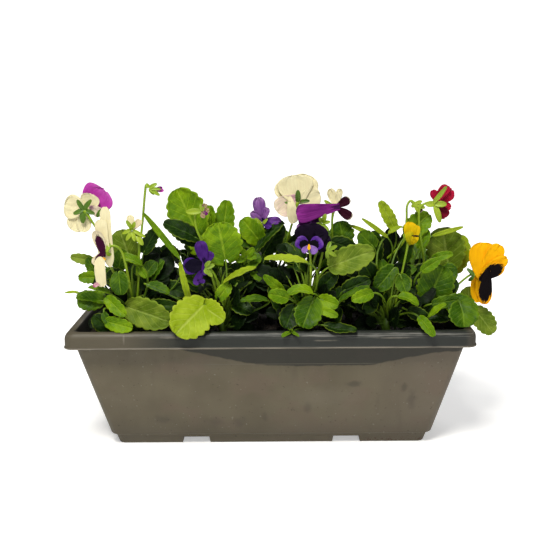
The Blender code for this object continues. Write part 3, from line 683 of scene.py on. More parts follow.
# base, rim, blotch, lines, then reach, raggedness and side taper of the blotch
PETAL_FINISHES = {
    "cream": ((0.87, 0.80, 0.50), (0.90, 0.84, 0.55), (0.70, 0.60, 0.42), (0.80, 0.70, 0.42),
        0.0, 0.1, 0.3),
    "cream_shade": ((0.74, 0.64, 0.40), (0.86, 0.78, 0.52), (0.6, 0.42, 0.42), (0.66, 0.5, 0.4),
        0.2, 0.4, 0.3),
    "blush": ((0.80, 0.68, 0.50), (0.88, 0.80, 0.58), (0.70, 0.42, 0.50), (0.66, 0.42, 0.48),
        0.3, 0.6, 0.2),
    "blush_tip": ((0.75, 0.50, 0.50), (0.50, 0.06, 0.28), (0.8, 0.7, 0.5), (0.5, 0.1, 0.3),
        0.1, 0.3, 0.3),
    "cream_blotch": ((0.88, 0.80, 0.52), (0.9, 0.82, 0.56), (0.045, 0.002, 0.025), (0.8, 0.6, 0.5),
        0.82, 0.5, 0.55),
    "magenta": ((0.46, 0.04, 0.37), (0.62, 0.12, 0.52), (0.36, 0.03, 0.30), (0.38, 0.03, 0.31),
        0.1, 0.3, 0.3),
    "mauve": ((0.22, 0.08, 0.30), (0.46, 0.25, 0.54), (0.10, 0.02, 0.20), (0.10, 0.02, 0.22),
        0.25, 0.6, 0.3),
    "violet_pale": ((0.16, 0.05, 0.32), (0.30, 0.12, 0.45), (0.05, 0.01, 0.14), (0.07, 0.01, 0.2),
        0.3, 0.5, 0.3),
    "violet": ((0.05, 0.010, 0.15), (0.12, 0.04, 0.30), (0.010, 0.003, 0.04), (0.02, 0.004, 0.08),
        0.3, 0.4, 0.3),
    "violet_face": ((0.09, 0.02, 0.30), (0.26, 0.11, 0.52), (0.002, 0.001, 0.005), (0.03, 0.005, 0.14),
        0.72, 0.25, 0.4),
    "violet_dark": ((0.05, 0.01, 0.18), (0.09, 0.03, 0.28), (0.003, 0.001, 0.012), (0.01, 0.002, 0.05),
        0.96, 0.2, 0.5),
    "purple": ((0.19, 0.014, 0.19), (0.34, 0.035, 0.33), (0.05, 0.004, 0.06), (0.05, 0.004, 0.08),
        0.2, 0.6, 0.3),
    "purple_deep": ((0.05, 0.005, 0.07), (0.10, 0.01, 0.13), (0.02, 0.002, 0.03), (0.02, 0.002, 0.03),
        0.4, 0.5, 0.3),
    "black": ((0.004, 0.0006, 0.008), (0.010, 0.002, 0.02), (0.002, 0.0004, 0.004), (0.003, 0.0005, 0.008),
        0.5, 0.3, 0.3),
    "lilac": ((0.30, 0.17, 0.52), (0.32, 0.16, 0.55), (0.55, 0.40, 0.20), (0.12, 0.04, 0.32),
        0.12, 0.2, 0.3),
    "maroon": ((0.05, 0.002, 0.016), (0.75, 0.66, 0.50), (0.03, 0.001, 0.010), (0.03, 0.001, 0.01),
        0.95, 0.06, 0.12),
    "crimson": ((0.42, 0.006, 0.035), (0.55, 0.012, 0.06), (0.10, 0.003, 0.012), (0.16, 0.002, 0.015),
        0.25, 0.5, 0.3),
    "crimson_deep": ((0.13, 0.002, 0.014), (0.28, 0.004, 0.03), (0.02, 0.001, 0.006), (0.05, 0.001, 0.01),
        0.3, 0.5, 0.3),
    "yellow": ((1.0, 0.50, 0.001), (1.0, 0.55, 0.002), (0.95, 0.42, 0.001), (0.95, 0.42, 0.001),
        0.1, 0.3, 0.3),
    "yellow_face": ((1.0, 0.46, 0.002), (0.95, 0.42, 0.002), (0.004, 0.002, 0.003), (0.8, 0.3, 0.001),
        0.97, 0.7, 0.3),
    "yellow_bud": ((0.72, 0.52, 0.001), (0.90, 0.52, 0.002), (0.55, 0.46, 0.005), (0.5, 0.38, 0.002),
        0.1, 0.3, 0.3),
    "yellow_green": ((0.50, 0.46, 0.004), (0.66, 0.50, 0.002), (0.36, 0.36, 0.01), (0.3, 0.3, 0.003),
        0.1, 0.3, 0.3),
    "pale_green": ((0.30, 0.42, 0.03), (0.40, 0.50, 0.06), (0.25, 0.38, 0.02), (0.2, 0.32, 0.02),
        0.1, 0.3, 0.3),
    "withered": ((0.42, 0.30, 0.18), (0.55, 0.42, 0.26), (0.10, 0.03, 0.06), (0.2, 0.12, 0.07),
        0.3, 0.7, 0.3),
}


def petal_material(name, finish):
    base, rim, blotch, lines, reach, ragged, taper = PETAL_FINISHES[finish]
    made, n, shader = new_material(name)
    streaks = n.use(groups["streaks"], Reach=reach, Ragged=ragged, Taper=taper, Shift=float(len(finish)))
    spots = n.use(groups["mottle"], Vector=n.place(), Patch_Scale=90.0, Grain_Scale=1400.0)
    colour = n.mix(streaks["Rim"], base, rim)
    colour = n.mix(n.math("MULTIPLY", streaks["Lines"], 0.5), colour, lines)
    colour = n.mix(n.math("MULTIPLY", spots["Patches"], 0.25), colour, rim)
    colour = n.mix(streaks["Blotch"], colour, blotch)
    n.put(shader.inputs["Base Color"], colour)
    n.put(shader.inputs["Roughness"], n.ramp(spots["Grain"], 0.0, 1.0, 0.5, 0.75))
    height = n.math("ADD", n.math("MULTIPLY", streaks["Lines"], 0.7), n.math("MULTIPLY", spots["Grain"], 0.2))
    n.put(shader.inputs["Normal"], n.bump(height, 0.35, 0.0006))
    shader.inputs["Sheen Weight"].default_value = 0.02
    shader.inputs["Specular IOR Level"].default_value = 0.1
    return made


def soil_material(name):
    made, n, shader = new_material(name)
    place = n.place()
    spots = n.use(groups["mottle"], Vector=place, Patch_Scale=60.0, Grain_Scale=420.0)
    fibres = n.noise(n.stretch(place, (1.0, 0.35, 1.0)), 380.0, detail=4.0)
    colour = n.mix(spots["Patches"], (0.006, 0.005, 0.004), (0.03, 0.021, 0.014))
    colour = n.mix(n.ramp(fibres, 0.6, 0.75), colour, (0.09, 0.062, 0.04))
    n.put(shader.inputs["Base Color"], colour)
    n.put(shader.inputs["Roughness"], n.ramp(spots["Grain"], 0.0, 1.0, 0.75, 1.0))
    height = n.math("ADD", spots["Grain"], fibres)
    n.put(shader.inputs["Normal"], n.bump(height, 0.9, 0.002))
    return made


STAIN = (0.055, 0.048, 0.034)
SCUFF = (0.27, 0.24, 0.19)

TROUGH_TONES = {
    "deep": (0.122, 0.102, 0.062),
    "light": (0.158, 0.134, 0.085),
    "warm_end": (0.168, 0.136, 0.10),
    "dust": (0.19, 0.162, 0.115),
    "ruddy": (0.165, 0.118, 0.085),
    "water_runs": (0.09, 0.076, 0.05),
    "darker_low": (0.088, 0.074, 0.047),
    "dark_speck": (0.045, 0.036, 0.026),
    "pale_speck": (0.3, 0.28, 0.23),
    # The next eight tones are painted light and shade: the shadow band under the rim, the highlight of a
    # moulded line, light on the rim's left end, shade along the rest of the rim, highlights on its bead, top
    # edge (with wear there too) and right corner, and shade on the inner walls.
    "band": (0.020, 0.022, 0.017),
    "moulded_line_highlight": (0.19, 0.17, 0.13),
    "rim_left_painted_light": (0.25, 0.205, 0.13),
    "rim_painted_shade": (0.014, 0.018, 0.015),
    "bead_highlight": (0.27, 0.24, 0.19),
    "worn_edge_highlight": (0.23, 0.225, 0.20),
    "rim_corner_highlight": (0.19, 0.155, 0.115),
    "inside": (0.006, 0.007, 0.005),
    "crumbs": (0.06, 0.018, 0.008),
}

# Heights in metres that the finish is placed by
SKIRT_Z = SKIRT_LOW * MM
# Height of the painted highlight of a moulded line on the front wall
THIN_LINE_Z = 0.1195

# Marks on the front wall and rim: centre, half size along X, Y and Z, strength, colour
MARKS = (
    ((0.106, -0.074, 0.090), (0.013, 0.03, 0.005), 0.6, STAIN),
    ((0.169, -0.073, 0.084), (0.005, 0.03, 0.007), 0.5, STAIN),
    ((0.180, -0.070, 0.066), (0.007, 0.03, 0.016), 0.4, STAIN),
    ((-0.139, -0.064, 0.038), (0.014, 0.03, 0.008), 0.35, STAIN),
    ((-0.073, -0.064, 0.034), (0.013, 0.03, 0.009), 0.3, STAIN),
    ((-0.041, -0.064, 0.034), (0.010, 0.03, 0.010), 0.35, STAIN),
    ((-0.008, -0.065, 0.041), (0.005, 0.03, 0.008), 0.35, STAIN),
    ((0.047, -0.068, 0.054), (0.006, 0.03, 0.010), 0.4, STAIN),
    ((0.070, -0.072, 0.070), (0.055, 0.03, 0.020), 0.14, SCUFF),
    ((-0.178, -0.095, 0.157), (0.0015, 0.02, 0.007), 0.45, SCUFF),
    ((-0.120, -0.095, 0.160), (0.016, 0.02, 0.002), 0.35, SCUFF),
    ((0.065, -0.095, 0.155), (0.018, 0.02, 0.0011), 0.4, SCUFF),
    ((0.150, -0.095, 0.158), (0.026, 0.02, 0.0012), 0.4, SCUFF),
)


def smear(n, place, centre, size, strength):
    """A soft ragged spot that falls off from a centre."""
    moved = n.add("ShaderNodeMapping")
    n.put(moved.inputs["Vector"], place)
    moved.inputs["Scale"].default_value = tuple(1 / s for s in size)
    moved.inputs["Location"].default_value = tuple(-c / s for c, s in zip(centre, size))
    away = n.add("ShaderNodeVectorMath", operation="LENGTH")
    n.put(away.inputs[0], moved.outputs["Vector"])
    ragged = n.math("ADD", away.outputs["Value"], n.math("MULTIPLY", n.noise(place, 110.0), 1.4))
    return n.ramp(ragged, 0.9, 1.9, strength, 0.0)


def plastic_walls(n, place, x, z, patches, clouds):
    """Two tones of plastic, warmer at the right end, with dust, water runs and specks, darker towards the
    bottom.
    """
    runs = n.noise(n.stretch(place, (70.0, 70.0, 5.0)), 1.0, detail=3.0)
    ruddy = n.noise(n.stretch(place, (16.0, 16.0, 22.0)), 1.0, detail=4.0)
    dark_speck = n.ramp(n.noise(place, 260.0, detail=1.0), 0.70, 0.76)
    pale_speck = n.ramp(n.noise(place, 330.0, detail=0.0), 0.80, 0.83)
    colour = n.mix(patches, TROUGH_TONES["deep"], TROUGH_TONES["light"])
    for share, tone in (
        (n.ramp(x, 0.08, 0.24, 0.0, 0.7), "warm_end"),
        (n.ramp(clouds, 0.48, 0.75, 0.0, 0.45), "dust"),
        (n.ramp(ruddy, 0.5, 0.62, 0.0, 0.4), "ruddy"),
        (n.ramp(runs, 0.55, 0.8, 0.0, 0.3), "water_runs"),
        (n.ramp(z, 0.0, 0.05, 0.75, 0.0), "darker_low"),
        (n.math("MULTIPLY", dark_speck, 0.5), "dark_speck"),
        (n.math("MULTIPLY", pale_speck, 0.4), "pale_speck"),
    ):
        colour = n.mix(share, colour, TROUGH_TONES[tone])
    return colour


def shaded_band(n, place, x, z, colour):
    """The painted shadow band under the rim, deepest to the right of the middle, and the thin painted
    highlight line in it.
    """
    # Painted shadow: a dark band with a wavy lower edge, as cast by the rim and the leaves over it.
    depth = n.math("MULTIPLY", n.ramp(x, -0.14, 0.0, 0.0, 0.027), n.ramp(x, 0.10, 0.245, 1.0, 0.3))
    wavy = n.noise(n.stretch(place, (26.0, 4.0, 4.0)), 1.0, detail=3.0)
    fall = n.math("ADD", depth, n.math("MULTIPLY", wavy, 0.010))
    above = n.math("SUBTRACT", z, n.math("SUBTRACT", SKIRT_Z + 0.004, fall))
    colour = n.mix(n.math("MULTIPLY", n.ramp(above, -0.0008, 0.0016), 0.84), colour, TROUGH_TONES["band"])
    # Painted highlight: a thin pale line where a moulded line crosses the front wall.
    line = n.math("COMPARE", z, THIN_LINE_Z, 0.0006)
    span = n.math("MULTIPLY", n.ramp(x, -0.09, -0.07), n.ramp(x, 0.12, 0.14, 0.35, 0.0))
    return n.mix(n.math("MULTIPLY", line, span), colour, TROUGH_TONES["moulded_line_highlight"])


def rim_light_shade_and_wear(n, place, x, z, clouds, colour):
    """The rim: painted light at its left end, painted shade along the rest, painted highlights on its bead
    and right corner, and wear with a painted highlight on its top edge.
    """
    streaks = n.noise(n.stretch(place, (22.0, 200.0, 700.0)), 1.0, detail=4.0)
    rim = n.ramp(z, SKIRT_Z + 0.0012, SKIRT_Z + 0.003)
    # Painted light: the left end of the rim made lighter, as where light falls on it.
    left = n.math("MULTIPLY", rim, n.ramp(x, -0.20, -0.06, 0.3, 0.0))
    # Painted shade: the rim darkened from its left end on, as in the shade of the leaves.
    shade_on_rim = n.math("MULTIPLY", rim, n.ramp(x, -0.19, -0.09, 0.0, 0.92))
    # Painted highlight: a pale streaky line along the bead at the skirt's lower edge.
    bead = n.math(
        "MULTIPLY",
        n.ramp(z, SKIRT_Z - 0.0005, SKIRT_Z + 0.0002),
        n.ramp(z, SKIRT_Z + 0.0014, SKIRT_Z + 0.0024, 1.0, 0.0),
    )
    bead = n.math("MULTIPLY", bead, n.ramp(streaks, 0.35, 0.6, 0.35, 0.9))
    # Wear and painted highlight: a pale streaky line along the rim's rounded top edge, strongest right of the
    # middle.
    worn_and_lit = n.math(
        "MULTIPLY",
        n.ramp(z, SKIRT_Z + 0.011, SKIRT_Z + 0.017),
        n.ramp(z, SKIRT_Z + 0.0186, SKIRT_Z + 0.0196, 1.0, 0.0),
    )
    worn_and_lit = n.math("MULTIPLY", worn_and_lit, n.ramp(streaks, 0.48, 0.62))
    worn_and_lit = n.math("MULTIPLY", worn_and_lit, n.ramp(x, -0.06, 0.0, 0.2, 0.75))
    # Painted highlight: the rim's rounded right corner made lighter.
    corner = n.math("MULTIPLY", rim, n.ramp(x, 0.236, 0.247, 0.0, 0.55))
    corner = n.math("MULTIPLY", corner, n.ramp(clouds, 0.4, 0.55, 0.5, 1.0))
    for share, tone in (
        (left, "rim_left_painted_light"),
        (shade_on_rim, "rim_painted_shade"),
        (bead, "bead_highlight"),
        (worn_and_lit, "worn_edge_highlight"),
        (corner, "rim_corner_highlight"),
    ):
        colour = n.mix(share, colour, TROUGH_TONES[tone])
    return colour


def inside_shade(n, x, y, z, colour):
    """The inner face of the walls, above the soil, darkened with painted shade."""
    near_x = n.math("LESS_THAN", n.math("ABSOLUTE", x), WALL_X * MM - 0.0013)
    near_y = n.math("LESS_THAN", n.math("ABSOLUTE", y), WALL_Y * MM - 0.0013)
    inside = n.math("MULTIPLY", near_x, near_y)
    inside = n.math("MULTIPLY", inside, n.math("GREATER_THAN", z, SOIL_TOP * MM - 0.0005))
    return n.mix(n.math("MULTIPLY", inside, 0.85), colour, TROUGH_TONES["inside"])


def foot_crumbs(n, place, x, z, colour):
    """Reddish crumbs that stick to the lowest edge of the right foot."""
    crumbs = n.math("MULTIPLY", n.ramp(n.noise(place, 420.0), 0.54, 0.6), n.ramp(z, 0.003, 0.010, 1.0, 0.0))
    crumbs = n.math("MULTIPLY", crumbs, n.ramp(x, 0.11, 0.13, 0.0, 0.8))
    return n.mix(crumbs, colour, TROUGH_TONES["crumbs"])


def trough_material(name):
    """Warm grey-brown moulded plastic: painted shade and highlights on the rim, the painted shadow band below
    it, dust, scuffs and smears.
    """
    made, n, shader = new_material(name)
    place = n.place()
    split = n.add("ShaderNodeSeparateXYZ")
    n.put(split.inputs[0], place)
    x, y, z = split.outputs
    spots = n.use(groups["mottle"], Vector=place, Patch_Scale=14.0, Grain_Scale=1500.0)
    clouds = n.noise(n.stretch(place, (9.0, 9.0, 16.0)), 1.0, detail=5.0)

    colour = plastic_walls(n, place, x, z, spots["Patches"], clouds)
    colour = shaded_band(n, place, x, z, colour)
    colour = rim_light_shade_and_wear(n, place, x, z, clouds, colour)
    for centre, size, strength, tint in MARKS:
        colour = n.mix(smear(n, place, centre, size, strength), colour, tint)
    colour = inside_shade(n, x, y, z, colour)
    colour = foot_crumbs(n, place, x, z, colour)
    n.put(shader.inputs["Base Color"], colour)

    rough = n.math("ADD", n.ramp(spots["Grain"], 0.0, 1.0, 0.34, 0.48), n.math("MULTIPLY", clouds, 0.12))
    n.put(shader.inputs["Roughness"], rough)
    height = n.math("ADD", n.math("MULTIPLY", spots["Grain"], 0.12), n.math("MULTIPLY", clouds, 1.4))
    n.put(shader.inputs["Normal"], n.bump(height, 0.35, 0.0012))
    return made


def finish_material(finish):
    """The material of a finish, made the first time it is asked for."""
    name = "finish_" + finish
    if name in bpy.data.materials:
        return bpy.data.materials[name]
    if finish in LEAF_FINISHES:
        return leaf_material(name, finish)
    if finish in PETAL_FINISHES:
        return petal_material(name, finish)
    if finish == "soil":
        return soil_material(name)
    if finish == "trough":
        return trough_material(name)
    return stem_material(name, *STEM_FINISHES[finish])


# ------------------------------------------------------------------ leaves and plants


def full_leaf(build, plant, base, tip, width, facing, finish, curl, level, seed, detail=1.0):
    """A toothed, puckered leaf with its stalk; round leaves are flatter, with lobes at their base."""
    long = (Vector(tip) - Vector(base)).length
    heart = 0.16 if width > 0.7 * long else 0.04
    blade(
        build, base, tip, width, facing, finish, curl=curl, cup=0.22 if width < 0.8 * long else 0.12,
        teeth=6 if long > 38 else 5, ruffle=0.025 * width, heart=heart, pucker=1.3 if long > 20 else 0.6,
        across=max(6, int(16 * detail)), along=max(10, int(56 * detail)), seed=seed,
    )
    petiole(build, plant, base, tip, level)


def build_named_leaves():
    for i, (node, plant, base, tip, width, facing, finish, curl) in enumerate(LEAVES):
        build = Builder()
        full_leaf(build, plant, base, tip, width, facing, finish, curl, 8 + (base[2] - 150) * 0.3, i * 1.7)
        piece = build.make(node + "_blade", thickness=0.5)
        put(piece, leaf_slot(finish), node)


def build_small_leaves():
    for i, (plant, base, tip, width, facing, finish, curl) in enumerate(SMALL_LEAVES):
        build = Builder()
        level = 6 + (base[2] - 150) * 0.28
        full_leaf(build, plant, base, tip, width, facing, finish, curl, level, i * 2.3, detail=0.8)
        piece = build.make(f"small_leaf_{i + 1:02d}", thickness=0.4)
        put(piece, leaf_slot(finish))


def build_narrow_blades():
    for i, (plant, base, tip, width, finish, curl) in enumerate(BLADES):
        build = Builder()
        blade(build, base, tip, width, FRONT, finish, curl=curl, cup=0.3, across=4, along=14)
        petiole(build, plant, base, tip, 30, radius=0.8)
        put(build.make(f"narrow_blade_{i + 1}", thickness=0.5), "leaf_bright")


def foliage_height(x):
    """How high the dense growth reaches at a place along the trough."""
    return 243 + 8 * math.sin(x / 31.0) - 0.0007 * x * x


def clamp(value, low, high):
    return min(max(value, low), high)


# How far inner leaves may reach to the left and right, to the back, and to the front below and above a height
INNER_BASE = {"x": (-222, 226), "back": 66, "front_low": -46, "front_high": -24}
INNER_TIP = {"x": (-238, 244), "back": 92, "front_low": -56, "front_high": -28}
INNER_LEVEL = 196
# Layers of inner leaves: how many, spread, lowest and highest base (None is the top), finishes to choose from
# The dark and deep finishes here are painted shade for the inside of the growth.
INNER_LAYERS = (
    (16, 38, 152, 188, ("deep", "deep", "dark")),
    (22, 48, 180, 216, ("deep", "deep", "dark")),
    (18, 46, 208, None, ("dark", "deep", "dark", "mid")),
)


def keep_inside(point, limits, z):
    """Moves a point of an inner leaf back to where such a leaf may reach."""
    front = limits["front_low"] if z < INNER_LEVEL else limits["front_high"]
    point.x = clamp(point.x, *limits["x"])
    point.y = clamp(point.y, front, limits["back"])


def random_leaf(build, plant, spread, low, high, finishes):
    """One of the many leaves inside a plant, aimed away from its stem."""
    x, y = PLANTS[plant]
    angle = random.uniform(0, 2 * math.pi)
    reach = random.uniform(0.3, 1.0) * spread
    away = Vector((math.cos(angle), math.sin(angle) * 0.8, 0))
    z = random.uniform(low, high)
    base = Vector((x, y, z)) + away * reach
    keep_inside(base, INNER_BASE, z)
    size = random.uniform(20, 34)
    slope = random.uniform(-0.4, 1.0)
    tip = base + (away * random.uniform(0.4, 1.0) + Vector((0, 0, slope))).normalized() * size
    tip.z = min(tip.z, foliage_height(tip.x) + 12)
    keep_inside(tip, INNER_TIP, z)
    side = -1 if y < 20 or angle > math.pi else 0.6
    facing = Vector((random.uniform(-0.4, 0.4), side * random.uniform(0.4, 1.2), random.uniform(0.3, 1.0)))
    width = size * random.uniform(0.62, 0.9)
    blade(
        build, base, tip, width, facing, random.choice(finishes), curl=random.uniform(0.1, 0.8), cup=0.2,
        teeth=4, ruffle=0.02 * width, heart=0.08, across=8, along=24, seed=random.uniform(0, 9), pucker=1.0,
    )
    petiole(build, plant, base, tip, random.uniform(2, 34), radius=0.9)


def build_plants():
    """Each plant's stem with all its inner leaves and stalks."""
    for plant, (x, y) in PLANTS.items():
        build = Builder()
        points = []
        for k in range(6):
            sway_x = 1.5 * math.sin(k * 2.1)
            sway_y = 1.5 * math.cos(k * 1.7)
            points.append(Vector((x + sway_x, y + sway_y, SOIL_TOP - 6 + 10 * k)))
        tube(build, smooth_line(points, 3), (5.2, 4.2, 4.6, 3.8, 3.4), "stem", sides=10)
        for count, spread, low, high, finishes in INNER_LAYERS:
            for _ in range(count):
                random_leaf(build, plant, spread, low, high or foliage_height(x), finishes)
        put(build.make(plant + "_foliage", thickness=0.4), "stem_green", plant)


# ------------------------------------------------------------------ flowers

FORWARD = (0.0, -1.0, 0.15)

